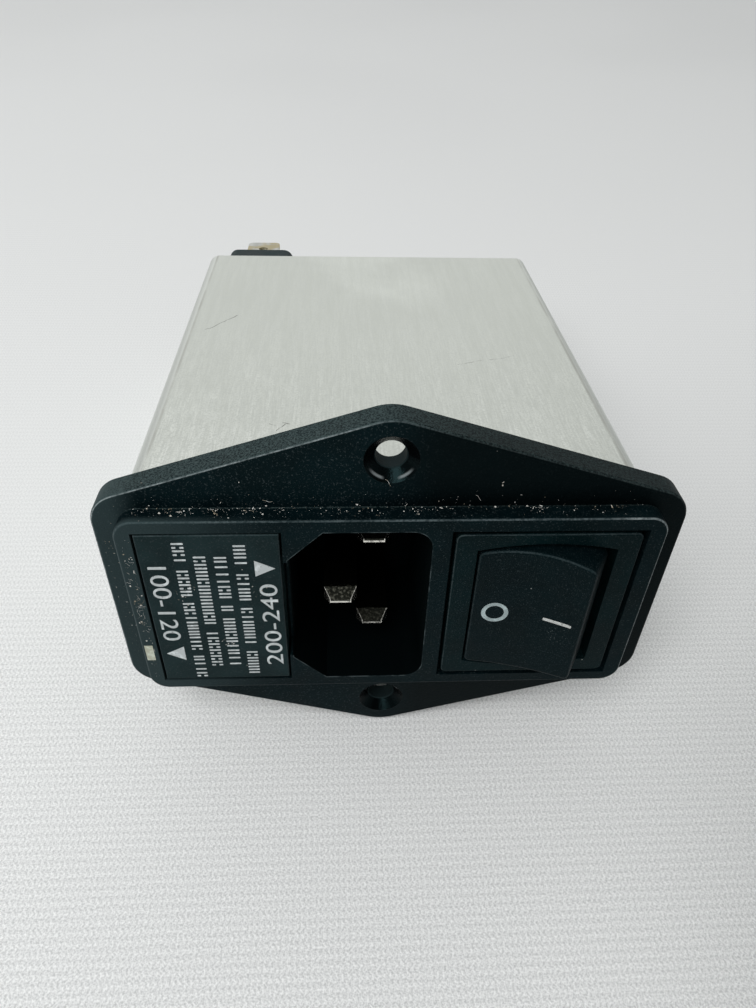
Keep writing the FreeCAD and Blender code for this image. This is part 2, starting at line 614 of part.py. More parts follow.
# Drawn metal shell with openings for the rear terminals and the earth rivet.
def make_can(spots):
    body = new_body("filter_can")
    shell = new_sketch(body, "XZ_Plane", "-shoulder")
    rectangle(shell, "can_shift", "0", "can_w", "can_h")
    pad(body, shell, "can_rear - shoulder", flip=True)
    fillet(body, "can_corner", lambda e: runs_along(e, 1))
    rear, mouth = number("can_rear"), number("shoulder")
    rounded = fillet(body, "can_edge", lambda e: flat_at(e, 1, rear))
    open_face = next("Face%d" % (i + 1) for i, face in enumerate(rounded.Shape.Faces)
                     if face.BoundBox.YMax < mouth + NEAR)
    hollow = body.newObject("PartDesign::Thickness", "filter_can_hollow")
    hollow.Base = (rounded, [open_face])
    hollow.Reversed = True
    bind(hollow, "Value", "can_wall")
    openings = new_sketch(body, "XZ_Plane", "-can_rear")
    for x, z in spots:
        stadium(openings, x, z, "neck_w", "neck_t")
    circle(openings, "ground_x", "ground_z - ground_h/2", "rivet_d")
    pocket(body, openings, "can_edge", flip=True)
    return body


# Rear terminal: insulating sleeve with a flat tab through it.
def make_terminal(index, x, z):
    sleeve = new_body("terminal_bushing_%d" % index)
    lengths = (("bushing_w", "bushing_t", "can_rear", "bushing_end"),
               ("neck_w", "neck_t", "neck_in", "can_rear"))
    for width, height, start, end in lengths:
        section = new_sketch(sleeve, "XZ_Plane", "-" + start)
        stadium(section, "0", "0", width, height)
        pad(sleeve, section, end + " - " + start, flip=True)
    slot = new_sketch(sleeve, "XZ_Plane", "-neck_in")
    rectangle(slot, "0", "0", "tab_w", "tab_t")
    pocket(sleeve, slot)
    place(sleeve, x, "0", z)
    tab = new_body("output_tab_%d" % index)
    plan = new_sketch(tab, "XY_Plane", "-tab_t/2")
    window(plan, span("0", "tab_w"), ("tab_start", "tab_end"))
    circle(plan, "0", "tab_end - tab_hole_in", "tab_hole")
    pad(tab, plan, "tab_t")
    end = number("tab_end")
    fillet(tab, "tab_round", lambda e: runs_along(e, 2) and farthest(e, 1, end) < NEAR)
    place(tab, x, "0", z)
    return [sleeve, tab]


# Earth tab riveted to the rear wall.
def make_ground():
    tab = new_body("earth_tab")
    profile = new_sketch(tab, "YZ_Plane", "-tab_w/2")
    outline(profile, [("can_rear", "ground_z - ground_h"), ("can_rear + tab_t", "ground_z - ground_h"),
                      ("can_rear + tab_t", "ground_z - tab_t"), ("ground_end", "ground_z - tab_t"),
                      ("ground_end", "ground_z"), ("can_rear", "ground_z")])
    pad(tab, profile, "tab_w")
    hole = new_sketch(tab, "XZ_Plane", "-can_rear")
    rivet_z = "ground_z - ground_h/2"
    circle(hole, "0", rivet_z, "rivet_d")
    pocket(tab, hole, "tab_t")
    place(tab, "ground_x")
    inside, outside = "can_rear - can_wall", "can_rear + tab_t"
    shank = along_y("rivet_shank", "rivet_d", inside, outside, "ground_x", rivet_z)
    outer = along_y("rivet_outer", "rivet_head", outside, outside + " + rivet_t", "ground_x", rivet_z)
    inner = along_y("rivet_inner", "rivet_head", inside + " - rivet_t", inside, "ground_x", rivet_z)
    return [tab, join("earth_rivet", [shank, outer, inner])]


# Ring choke on the board: ferrite core with a copper winding on each side.
def make_choke():
    core = new_body("choke_core")
    ring = new_sketch(core, "XY_Plane")
    circle(ring, "0", "0", "core_out")
    circle(ring, "0", "0", "core_in")
    pad(core, ring, "core_t")
    place(core, "core_x", "core_y", "board_top + copper_t")
    pieces = [core]
    for index, angle in ((1, "copper_start"), (2, "copper_start + 180")):
        winding = new_body("choke_winding_%d" % index)
        section = new_sketch(winding, "XZ_Plane")
        window(section, ("core_in/2 - copper_t", "core_out/2 + copper_t"), ("-copper_t", "core_t + copper_t"))
        window(section, ("core_in/2", "core_out/2"), ("0", "core_t"))
        turn = winding.newObject("PartDesign::Revolution", "turn_%d" % index)
        turn.Profile = section
        turn.ReferenceAxis = (section, ["V_Axis"])
        turn.setExpression("Angle", "Dims.copper_turn * 1 deg")
        pieces.append(place(winding, "core_x", "core_y", "board_top + copper_t", (0, 0, 1), angle))
    return pieces


# Interference filter: board, choke, capacitors, discharge resistor and the strap to the can.
def make_filter():
    pieces = make_choke()
    pieces.append(block("filter_board", span("can_shift", "board_w"), ("board_start", "board_end"),
                        ("board_top - board_t", "board_top")))
    pieces.append(block("x_capacitor", span("box_x", "box_w"), span("box_y", "box_d"),
                        ("board_top", "board_top + box_h")))
    near, far = span("disc_y", "disc_t")
    for index, x in ((1, "disc_x"), (2, "disc_x + disc_pitch")):
        pieces.append(along_y("y_capacitor_%d" % index, "disc_d", near, far, x, "board_top + disc_d/2"))
    resistor = cylinder("bleed_resistor", "resistor_d", "resistor_len")
    place(resistor, "box_x - resistor_len/2", "resistor_y", "board_top + resistor_d/2", (0, 1, 0), "90")
    strap = new_body("earth_strap")
    profile = new_sketch(strap, "YZ_Plane", "-strap_w/2")
    roof, foot = "can_h/2 - can_wall", "strap_y + strap_foot"
    front, under = "strap_y - strap_t", roof + " - strap_t"
    outline(profile, [(front, "pin_t/2"), ("strap_y", "pin_t/2"), ("strap_y", under),
                      (foot, under), (foot, roof), (front, roof)])
    pad(strap, profile, "strap_w")
    return pieces + [resistor, place(strap, "earth_x")]


parts = [make_housing(), make_drawer(), make_switch_case(), make_rocker()]
parts.append(block("index_marker", span("marker_x", "marker_w"), ("-front", "marker_t - front"),
                   span("marker_z", "marker_h")))
parts.append(make_pin("line_pin", "live_x", "pin_pitch/2", "live_tip"))
parts.append(make_pin("neutral_pin", "live_x", "-pin_pitch/2", "live_tip"))
parts.append(make_pin("earth_pin", "earth_x", "0", "earth_tip"))
parts += make_fuse(1, "bay_x - fuse_side") + make_fuse(2, "bay_x + fuse_side") + make_selector()
for index, z in ((1, "pole_z"), (2, "-pole_z")):
    parts += make_plunger(index, z) + [make_lever(index, z)] + make_blades(index, z)
rear_spots = [("first_x", "first_z"), ("can_shift - row_pitch", "row_z"),
              ("can_shift + row_pitch", "row_z"), ("can_shift", "row_z")]
parts.append(make_can(rear_spots))
for index, (x, z) in enumerate(rear_spots, start=1):
    parts += make_terminal(index, x, z)
parts += make_ground() + make_filter()

doc.recompute()
faults = [item.Label for item in doc.Objects if "Invalid" in item.State or "Error" in item.State]
faults += [part.Label for part in parts if not part.Shape.isValid() or not part.Shape.Solids]
if faults:
    raise RuntimeError("faulty objects: " + ", ".join(faults))
for part in parts:
    part.Shape.exportStep("parts/%s.step" % part.Label)
print(len(parts), "pieces written")
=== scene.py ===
# %% [markdown]
# # Power entry module: finishes, print and dust
# This is a mains inlet for the back of a cabinet: a black front moulding with a fuse drawer, an inlet and a
# rocker switch, and a metal can behind it. The CAD model already holds every moulding, pin, tab and
# winding, so it is loaded as a fixed frame and none of it is moved. The lesson sets up the view, builds
# each finish as a material, and then models what is too fine for the solids: print, switch marks, two coil
# springs and lint.

# %% Load the frame
import json
import math
import random

import bmesh
import bpy
from mathutils import Matrix, Vector


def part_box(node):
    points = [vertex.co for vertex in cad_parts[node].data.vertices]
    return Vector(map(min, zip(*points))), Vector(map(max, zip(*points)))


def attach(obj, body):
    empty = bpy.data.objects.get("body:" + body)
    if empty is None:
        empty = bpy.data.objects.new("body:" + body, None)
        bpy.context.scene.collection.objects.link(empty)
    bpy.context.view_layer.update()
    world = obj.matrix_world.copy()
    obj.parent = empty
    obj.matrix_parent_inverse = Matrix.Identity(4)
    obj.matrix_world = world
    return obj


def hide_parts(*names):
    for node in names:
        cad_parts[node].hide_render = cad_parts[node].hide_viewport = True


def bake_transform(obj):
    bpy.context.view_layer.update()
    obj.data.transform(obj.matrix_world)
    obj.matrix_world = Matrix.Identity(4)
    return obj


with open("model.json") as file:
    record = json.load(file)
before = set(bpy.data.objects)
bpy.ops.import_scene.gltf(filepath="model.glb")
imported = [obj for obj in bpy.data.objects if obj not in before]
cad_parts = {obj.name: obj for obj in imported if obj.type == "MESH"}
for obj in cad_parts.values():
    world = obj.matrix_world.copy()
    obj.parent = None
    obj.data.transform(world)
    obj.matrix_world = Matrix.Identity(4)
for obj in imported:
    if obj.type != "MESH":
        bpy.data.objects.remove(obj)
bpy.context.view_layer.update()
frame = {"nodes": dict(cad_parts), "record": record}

MM = 0.001

# %% [markdown]
# ## Camera
# The photograph was taken from above the front, close by and with a wide lens, so the near edges spread and
# the can narrows quickly towards the back. A camera set by eye never gets such a strong perspective right.
# The place and the three turns come from solving the outline of the part against the photograph, and the
# lens is stated for the tall side of the picture. The near clip is set small, because the part is only a
# hand's width away.

# %% Camera at the photograph's place
CAMERA_PLACE = Vector((-5.237, -64.276, 63.361)) * MM
CAMERA_DOWN = math.radians(38.746)
CAMERA_HEADING = math.radians(3.692)
CAMERA_ROLL = math.radians(1.896)
SENSOR_HEIGHT, FOCAL_LENGTH = 36.0, 25.843
NEAR_CLIP = 5 * MM

bpy.ops.object.select_all(action="DESELECT")
bpy.ops.object.camera_add()
camera = bpy.context.object
camera.name = "studio_camera"
camera.data.sensor_fit = "VERTICAL"
camera.data.sensor_height = SENSOR_HEIGHT
camera.data.lens = FOCAL_LENGTH
camera.data.clip_start = NEAR_CLIP
heading = Matrix.Rotation(-CAMERA_HEADING, 4, "Z")
pitch = Matrix.Rotation(math.pi / 2 - CAMERA_DOWN, 4, "X")
roll = Matrix.Rotation(CAMERA_ROLL, 4, "Z")
camera.matrix_world = Matrix.Translation(CAMERA_PLACE) @ heading @ pitch @ roll
bpy.context.scene.camera = camera
print("camera", round(CAMERA_PLACE.length / MM), "mm from the origin")

# %% [markdown]
# ## Floor
# On the table the module rests on two edges only: the lower tip of its flange and the rounded rear edge of
# the can. The floor could be put there by eye, but the tangent from the tip to the edge's circle gives the
# slope exactly, so the part touches it in both places and the contact shadows come out right.

# %% Floor through the two resting edges
CAN_EDGE = 1.4 * MM
FLOOR_SIZE = 6.0
tip_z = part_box("front_housing")[0].z
can_low, can_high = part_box("filter_can")
run = can_high.y - CAN_EDGE
rise = can_low.z + CAN_EDGE - tip_z
slope = math.acos(CAN_EDGE / math.hypot(run, rise)) - math.atan2(run, rise)

bpy.ops.object.select_all(action="DESELECT")
bpy.ops.mesh.primitive_plane_add(size=FLOOR_SIZE, location=(0, 0, tip_z), rotation=(slope, 0, 0))
floor = bpy.context.object
floor.name = "table_top"
print("floor slope", round(math.degrees(slope), 2), "degrees")

# %% [markdown]
# ## Light
# The photograph has the even light of a bright room: pale floor and hardly any shadow in front of the part.
# A white surrounding gives a third of it. A softbox high at the front lights the floor as far as under the
# flange, a large one at the back is what the satin can mirrors, and a weak one lifts the left side. The
# view transform is the plain one, so that a grey in a material stays that grey in the picture.

# %% Room light and softboxes
ROOM_COLOUR, ROOM_STRENGTH = (0.985, 1.0, 0.99, 1.0), 0.38
AIM = Vector((0, 0.03, 0))
SOFTBOXES = [
    ("softbox_front", (-0.25, -0.45, 0.60), 0.5, 4.4),
    ("softbox_back", (-0.05, 1.05, 0.80), 1.6, 4.4),
    ("softbox_left", (-0.70, 0.05, 0.35), 0.5, 0.7),
]

bpy.context.scene.view_settings.view_transform = "Standard"
room = bpy.data.worlds.new("bright_room")
room.use_nodes = True
backdrop = room.node_tree.nodes["Background"].inputs
backdrop["Color"].default_value = ROOM_COLOUR
backdrop["Strength"].default_value = ROOM_STRENGTH
bpy.context.scene.world = room

for name, place, side, power in SOFTBOXES:
    bpy.ops.object.select_all(action="DESELECT")
    bpy.ops.object.light_add(type="AREA", location=place)
    lamp = bpy.context.object
    lamp.name = name
    lamp.data.shape = "SQUARE"
    lamp.data.size = side
    lamp.data.energy = power
    lamp.rotation_euler = (AIM - Vector(place)).to_track_quat("-Z", "Y").to_euler()
print("softboxes:", len(SOFTBOXES))

# %% [markdown]
# ## Working with shader nodes
# Every finish is a small network of nodes. Wiring them one by one in code is long, so a few helpers do what
# the node editor does by hand: add a node and plug its sockets, do arithmetic, fade a value between two
# limits. A socket knows the node tree that it belongs to, so a new node goes into the tree of the sockets
# that it is given.

# %% Node helpers
def is_socket(value):
    return isinstance(value, bpy.types.NodeSocket)


def plug(value, socket):
    socket.id_data.links.new(value, socket)


def add(kind, values, **settings):
    """Adds a node; values go into its sockets by name or number, as constants or as other nodes' outputs."""
    tree = next(value.id_data for value in values.values() if is_socket(value))
    item = tree.nodes.new(kind)
    for name, setting in settings.items():
        setattr(item, name, setting)
    for name, value in values.items():
        if is_socket(value):
            plug(value, item.inputs[name])
        else:
            item.inputs[name].default_value = value
    return item


def calc(operation, first, second=0.0):
    return add("ShaderNodeMath", {0: first, 1: second}, operation=operation).outputs[0]


def times(first, *others):
    """Multiplies masks and values."""
    for other in others:
        first = calc("MULTIPLY", first, other)
    return first


def away(value, middle):
    """How far a value is from a middle one, to either side."""
    return calc("ABSOLUTE", calc("SUBTRACT", value, middle))


def fade(value, low, high, start=0.0, end=1.0):
    """Runs smoothly from start to end while value goes from low to high."""
    limits = {"Value": value, "From Min": low, "From Max": high, "To Min": start, "To Max": end}
    return add("ShaderNodeMapRange", limits, interpolation_type="SMOOTHSTEP").outputs["Result"]


def axes(vector):
    return add("ShaderNodeSeparateXYZ", {"Vector": vector}).outputs


print("node helpers ready")

# %% [markdown]
# ### Patterns
# Two textures are used again and again: a cloudy noise, and a wave that makes even bands. Socket names have
# spaces and Python's names can't, so one more helper turns underscores into spaces.

# %% Pattern helpers
def spaced(values):
    return {label.replace("_", " "): value for label, value in values.items()}


def noise(place, scale, detail=2.0):
    return add("ShaderNodeTexNoise", {"Vector": place, "Scale": scale, "Detail": detail}).outputs[0]


def wave(place, direction, scale, **bends):
    """Bands that follow one another along one axis, straight or bent."""
    values = {"Vector": place, "Scale": scale, **spaced(bends)}
    return add("ShaderNodeTexWave", values, bands_direction=direction).outputs["Fac"]


print("pattern helpers ready")

# %% [markdown]
# ### Painting
# A finish starts as one Principled shader with plain values. Two helpers then work like paint: one lays a
# colour and a roughness over what the shader already has, and one presses a relief into it. So a finish
# reads from top to bottom in the order in which its layers lie.

# %% Paint helpers
FINISHES = {}


def new_finish(name, colour, roughness, **plain):
    """Material with one Principled shader. Returns that shader and the object coordinates."""
    FINISHES[name] = bpy.data.materials.new(name + "_finish")
    FINISHES[name].use_nodes = True
    tree = FINISHES[name].node_tree
    shader = tree.nodes["Principled BSDF"]
    values = {"Base Color": (*colour, 1), "Roughness": roughness, **spaced(plain)}
    for label, value in values.items():
        shader.inputs[label].default_value = value
    return shader, tree.nodes.new("ShaderNodeTexCoord").outputs["Object"]


def surface_normal(place):
    """The normal, from the same Texture Coordinate node as the place."""
    return place.node.outputs["Normal"]


def scaled(colour, share):
    return tuple(share * channel for channel in colour)


def under(shader, label):
    """What feeds a socket now: a link, or its plain value."""
    socket = shader.inputs[label]
    if socket.is_linked:
        return socket.links[0].from_socket
    return socket.default_value


def lay_over(shader, mask, colour, roughness):
    """Paints a colour and a roughness over the finish where the mask is 1."""
    colours = {0: mask, 6: under(shader, "Base Color"), 7: (*colour, 1)}
    plug(add("ShaderNodeMix", colours, data_type="RGBA").outputs[2], shader.inputs["Base Color"])
    dullness = {"Value": mask, "To Min": under(shader, "Roughness"), "To Max": roughness}
    plug(add("ShaderNodeMapRange", dullness).outputs["Result"], shader.inputs["Roughness"])


def press_relief(shader, height, depth):
    bump = add("ShaderNodeBump", {"Height": height, "Distance": depth})
    plug(bump.outputs["Normal"], shader.inputs["Normal"])


print("paint helpers ready")

# %% [markdown]
# ## Shared effects
# Moulded grain, worn and highlit edges, dust and tarnish turn up on many pieces, so each is built once as a
# node group and placed in the materials with its own values. A group gives out only masks and heights; the
# shader itself stays in the material. First comes the helper that makes an empty group with named sockets.

# %% Group helpers
def new_group(name, vectors, floats, outputs):
    """Empty shader group. Returns the group, the values given to it and the sockets it puts out."""
    group = bpy.data.node_groups.new(name, "ShaderNodeTree")
    wanted = [(label, "INPUT", "NodeSocketVector") for label in vectors]
    wanted += [(label, "INPUT", "NodeSocketFloat") for label in floats]
    wanted += [(label, "OUTPUT", "NodeSocketFloat") for label in outputs]
    for label, side, kind in wanted:
        group.interface.new_socket(label, in_out=side, socket_type=kind)
    return group, group.nodes.new("NodeGroupInput").outputs, group.nodes.new("NodeGroupOutput").inputs


def use(group, place, **values):
    """Places a group in a material and returns what it puts out."""
    return add("ShaderNodeGroup", {"Vector": place, **spaced(values)}, node_tree=group).outputs


print("group helpers ready")

# %% [markdown]
# ### Moulded grain
# The tool that the black plastic was moulded in was spark-eroded, which leaves a fine, even grain on every
# face. Modelling it would take millions of faces, so a fine noise drives the bump, and a broad one shifts
# the tone a little, because no moulding is equally matt all over.

# %% Moulded grain group
TONE_PATCHES = 210.0

moulded_grain, given, put = new_group("moulded_grain", ["Vector"], ["Grains"], ["Height", "Tone"])
plug(noise(given["Vector"], given["Grains"]), put["Height"])
plug(fade(noise(given["Vector"], TONE_PATCHES, 4.0), 0.35, 0.65), put["Tone"])
print("group", moulded_grain.name)

# %% [markdown]
# ### Worn and highlit edges
# Every rim that looks forward has a small radius. A pale, broken line is painted along it: partly wear from
# handling, partly a painted highlight where the radius catches the light. A wear mask is often made from mesh
# curvature, but the CAD faces are separate triangles. The normal says the same: on a flat face it points
# along Y or across it, and only on a rim does it lie in between.

# %% Worn and highlit edge group
EDGE_GRIT = 3400.0

worn_and_highlit_edge, given, put = new_group("worn_and_highlit_edge", ["Vector", "Normal"], ["Patches"], ["Mask"])
facing = calc("ABSOLUTE", axes(given["Normal"])["Y"])
rim = times(fade(facing, 0.35, 0.6), fade(facing, 0.95, 0.85))
patch = fade(noise(given["Vector"], given["Patches"], 3.0), 0.35, 0.65, 0.45, 1.0)
grit = fade(noise(given["Vector"], EDGE_GRIT), 0.35, 0.6, 0.4, 1.0)
plug(times(rim, patch, grit), put["Mask"])
print("group", worn_and_highlit_edge.name)

# %% [markdown]
# ### Dust specks
# Fine dust is a scatter of dots of different sizes with bare places between. A Voronoi texture gives each
# cell a centre and a random colour: one channel decides whether the cell has a speck at all, the other how
# big it is.

# %% Dust speck group
dust_specks, given, put = new_group("dust_specks", ["Vector"], ["Cells", "Share", "Size"], ["Mask"])
cells = add("ShaderNodeTexVoronoi", {"Vector": given["Vector"], "Scale": given["Cells"]}).outputs
chance = add("ShaderNodeSeparateColor", {"Color": cells["Color"]}).outputs
present = calc("LESS_THAN", chance["Red"], given["Share"])
radius = times(given["Size"], fade(chance["Green"], 0, 1, 0.35, 1.0))
speck = fade(cells["Distance"], radius, times(radius, 0.6))
plug(times(present, speck), put["Mask"])
print("group", dust_specks.name)

# %% [markdown]
# ### Brushed and drawn lines
# Sheet metal and drawn wire carry fine lines in the direction in which they were worked. A noise that is
# stretched along Y gives them. The line count and the stretch are inputs, because the can's lines are long
# and those on the small pieces short.

# %% Drawn line group
drawn_lines, given, put = new_group("drawn_lines", ["Vector"], ["Lines", "Stretch"], ["Height", "Tone"])
along = calc("DIVIDE", given["Lines"], given["Stretch"])
scale = add("ShaderNodeCombineXYZ", {"X": given["Lines"], "Y": along, "Z": given["Lines"]}).outputs[0]
stretched = add("ShaderNodeVectorMath", {0: given["Vector"], 1: scale}, operation="MULTIPLY").outputs[0]
plug(noise(stretched, 1.0, 3.0), put["Height"])
plug(fade(noise(stretched, 0.22), 0.3, 0.7), put["Tone"])
print("group", drawn_lines.name)

# %% [markdown]
# ### Tarnish and scratches
# Tarnish is a cloudy mask with a stated cover. A scratch is a straight line from a start point: the place
# is moved to that point and turned, and then the mask is 1 only close to the axis and within the length. A
# noise makes it wander and another breaks it, since a real scratch skips.

# %% Tarnish and scratch groups
WANDER = 0.3 * MM

tarnish, given, put = new_group("tarnish", ["Vector"], ["Patches", "Cover"], ["Mask"])
cloud = noise(given["Vector"], given["Patches"], 6.0)
bare = calc("SUBTRACT", 0.85, times(given["Cover"], 0.7))
plug(fade(cloud, calc("SUBTRACT", bare, 0.18), bare), put["Mask"])

scratch, given, put = new_group("scratch", ["Vector", "Start"], ["Turn", "Length", "Width"], ["Mask"])
turned = add("ShaderNodeVectorRotate",
             {"Vector": given["Vector"], "Center": given["Start"], "Angle": given["Turn"]},
             rotation_type="Z_AXIS", invert=True).outputs[0]
local = add("ShaderNodeVectorMath", {0: turned, 1: given["Start"]}, operation="SUBTRACT").outputs[0]
along, aside, _ = axes(local)
wander = fade(noise(given["Vector"], 330.0, 3.0), 0.2, 0.8, -WANDER, WANDER)
line = fade(calc("ABSOLUTE", calc("ADD", aside, wander)), given["Width"], 0.0)
after = calc("GREATER_THAN", along, 0.0)
before = calc("LESS_THAN", along, given["Length"])
skips = fade(noise(given["Vector"], 900.0, 3.0), 0.3, 0.55)
plug(times(line, after, before, skips), put["Mask"])
print("groups", tarnish.name, scratch.name)

# %% [markdown]
# ## Floor finish
# The table is covered with a pale, close-knitted cloth. One wave makes its rows. The stitches are a second
# wave across them, and the rows push it sideways, so that the stitches slant to and fro as in knitting. A
# fine noise breaks both up, because perfect rows look like a printed screen. Farther back the cloth is out
# of focus, so there the pattern fades towards its mean, and only a few faint darker patches are left,
# painted shade for shallow folds.

# %% Knitted white floor
ROW_SCALE, STITCH_SCALE, FUZZ_SCALE, FOLD_SCALE = 293.0, 462.0, 4600.0, 7.0
STITCH_PUSH = 0.3 * MM
BLUR_RANGE = -5.0 * MM, 55.0 * MM
FOLD_RANGE = 120.0 * MM, 300.0 * MM

shader, place = new_finish("white_cloth", (0.935, 0.945, 0.943), 0.9)
x, y, z = axes(place)
rows = wave(place, "Y", ROW_SCALE, Distortion=0.8, Detail=2.0, Detail_Scale=2.0)
pushed = calc("ADD", x, times(rows, STITCH_PUSH))
stitch_place = add("ShaderNodeCombineXYZ", {"X": pushed, "Y": y, "Z": z}).outputs[0]
stitches = wave(stitch_place, "X", STITCH_SCALE, Distortion=1.6, Detail=2.0)
fuzz = fade(noise(place, FUZZ_SCALE, 3.0), 0.30, 0.70)
weave = calc("ADD", times(rows, 0.15), times(stitches, 0.24))
weave = calc("ADD", weave, times(fuzz, 0.61))
sharpness = fade(y, *BLUR_RANGE, 1.15, 0.40)
weave = calc("ADD", 0.5, times(calc("SUBTRACT", weave, 0.5), sharpness))
lay_over(shader, weave, (0.565, 0.575, 0.575), 0.9)
# Darker patches far back: painted shade for shallow folds.
fold_shade = fade(noise(place, FOLD_SCALE, 1.0), 0.40, 0.62, 0.0, 0.09)
lay_over(shader, times(fold_shade, fade(y, *FOLD_RANGE)), (0.55, 0.56, 0.56), 0.9)
press_relief(shader, weave, 0.03 * MM)
floor.data.materials.append(FINISHES["white_cloth"])
print("floor finish done")

# %% [markdown]
# ### Shade beside the camera
# The cloth is darker at the lower right, where something close to the lens kept the room's light away. A
# dark card beside the camera, as studios use it, does the same. It lies just behind the lens in the
# camera's own plane and is hidden from every view, so only its shade is seen.

# %% Dark card beside the camera
CARD_SIDE = Vector((66.0, -56.0, 8.0)) * MM
CARD_SIZE = Vector((80.0, 150.0, 1000.0)) * MM

bpy.ops.object.select_all(action="DESELECT")
bpy.ops.mesh.primitive_plane_add(size=1.0)
card = bpy.context.object
card.name = "shade_card"
card_shape = Matrix.Translation(CARD_SIDE) @ Matrix.Diagonal(CARD_SIZE).to_4x4()
card.matrix_world = camera.matrix_world @ card_shape
card.visible_camera = False
shader, place = new_finish("card_black", (0.025, 0.025, 0.025), 0.8)
lay_over(shader, noise(place, 40.0, 4.0), (0.035, 0.035, 0.035), 0.9)
card.data.materials.append(FINISHES["card_black"])
print("card", [round(side / MM) for side in CARD_SIZE.xy], "mm")

# %% [markdown]
# ## Black mouldings
# Housing, drawer, switch frame, rocker and terminal sleeves are the same kind of glass-filled plastic,
# blue-black and matt, with pale rims that are partly wear and partly painted highlight, pale specks painted
# as glints, and a breath of dust. One function makes them, and each piece gets its own grain, gloss, rim
# line and dust. The rocker is tilted at rest, so its normal is turned back before the rims are looked for.

# %% Black moulding function
PALE_RIM = (0.075, 0.095, 0.10)
GLINT = (0.027, 0.036, 0.038)
DUST = (0.30, 0.31, 0.29)
TEAL_GLOSS = (0.45, 0.93, 1.0, 1.0)


def black_moulding(name, colour, roughness, grains, wear, dust, tilt=0.0):
    shader, place = new_finish(name, colour, roughness, Specular_IOR_Level=0.08, Specular_Tint=TEAL_GLOSS)
    grain = use(moulded_grain, place, Grains=grains)
    lay_over(shader, grain["Tone"], scaled(colour, 1.6), roughness + 0.1)
    # Pale specks on the grain's peaks are painted glints.
    lay_over(shader, fade(grain["Height"], 0.57, 0.74), GLINT, 0.6)
    turned = add("ShaderNodeMapping", {"Vector": surface_normal(place), "Rotation": (0, 0, tilt)})
    # The pale rim line is partly wear, partly painted highlight.
    rim = use(worn_and_highlit_edge, place, Normal=turned.outputs[0], Patches=240.0)["Mask"]
    lay_over(shader, times(rim, wear), PALE_RIM, 0.6)
    specks = use(dust_specks, place, Cells=1100.0, Share=dust, Size=0.11)["Mask"]
    lay_over(shader, specks, DUST, 0.9)
    press_relief(shader, grain["Height"], 0.03 * MM)
    return shader, place


print("rim colour", PALE_RIM)

# %% Drawer, switch and sleeves
black_moulding("drawer_black", (0.0074, 0.0146, 0.0156), 0.50, 5600.0, 0.55, 0.06)
black_moulding("switch_black", (0.0007, 0.0045, 0.0052), 0.44, 7000.0, 0.45, 0.03)
black_moulding("sleeve_black", (0.004, 0.012, 0.013), 0.38, 6400.0, 0.3, 0.10)
print("black mouldings: 3")

# %% [markdown]
# ### Rocker
# The rocker's right half has a small pale scuff where fingers press it. Fine specks whose share grows
# towards one spot look like rubbed plastic, where a plain soft dot would look like a stain.

# %% Rocker with its scuff
ROCKER_REST = math.radians(15.4)
SCUFF_X, SCUFF_Z = 19.9 * MM, -2.0 * MM


def from_spot(x, z, spot_x, spot_z):
    """Distance from a spot on the front, seen along Y."""
    across = calc("POWER", calc("SUBTRACT", x, spot_x), 2.0)
    up = calc("POWER", calc("SUBTRACT", z, spot_z), 2.0)
    return calc("SQRT", calc("ADD", across, up))


shader, place = black_moulding("rocker_black", (0.0005, 0.0026, 0.0034), 0.40, 8000.0, 0.3, 0.03, ROCKER_REST)
x, _, z = axes(place)
near_scuff = fade(from_spot(x, z, SCUFF_X, SCUFF_Z), 2.0 * MM, 0.3 * MM, 0.0, 0.5)
scuff = use(dust_specks, place, Cells=5200.0, Share=near_scuff, Size=0.4)["Mask"]
lay_over(shader, scuff, (0.07, 0.085, 0.085), 0.8)
print("rocker finish done")

# %% [markdown]
# ### Housing
# The housing has more to show than the others. Bezel and flange are painted greyer at their left end, as
# painted light from the left, and right of the middle the flange is painted nearly black, as painted shade.
# A grey film on the upper sides of the flange, found by the normal, is partly dust and partly painted
# light, and it thins out to the right.

# %% Housing with painted light on the left, painted shade on the right and a dust film
FLANGE_FACE, BEZEL_FACE = -3.2 * MM, -5.6 * MM
SHADE_BLACK = (0.0002, 0.0006, 0.0008)
LIT_LEFT_GREY = (0.036, 0.055, 0.058)
DUST_AND_LIGHT_GREY = (0.052, 0.074, 0.074)

shader, place = black_moulding("housing_black", (0.0007, 0.0034, 0.0044), 0.46, 5200.0, 1.0, 0.014)
x, y, z = axes(place)
_, facing_front, facing_up = axes(surface_normal(place))
on_flange = fade(y, FLANGE_FACE - 0.3 * MM, FLANGE_FACE)
on_bezel = fade(y, BEZEL_FACE + 1.2 * MM, BEZEL_FACE + 0.3 * MM)
# Painted shade: right of the middle the flange is painted nearly black.
shaded_right = times(on_flange, fade(x, -2.0 * MM, 6.0 * MM, 0.0, 0.88))
lay_over(shader, shaded_right, SHADE_BLACK, 0.5)
# Painted light: the bezel's left end and the flange's left strip are painted greyer.
lit_left = times(on_bezel, fade(x, -11.0 * MM, -29.0 * MM, 0.0, 0.60))
lay_over(shader, lit_left, LIT_LEFT_GREY, 0.55)
lit_left_strip = times(on_flange, fade(x, -26.5 * MM, -30.5 * MM, 0.0, 0.55))
lay_over(shader, lit_left_strip, LIT_LEFT_GREY, 0.55)

before_panel = fade(y, -FLANGE_FACE, 0.0)
upper_part = fade(z, 10.0 * MM, 12.0 * MM)
leftness = fade(x, -6.0 * MM, 14.0 * MM, 1.0, 0.45)
# Grey film on upward faces: partly dust, partly painted light, stronger to the left.
film = times(fade(facing_up, 0.2, 0.8), on_flange, before_panel, upper_part, leftness)
patchy = fade(noise(place, 5000.0, 3.0), 0.36, 0.64, 0.05, 0.92)
lay_over(shader, times(film, patchy), DUST_AND_LIGHT_GREY, 0.8)
print("flange face at y", round(FLANGE_FACE / MM, 2), "mm")

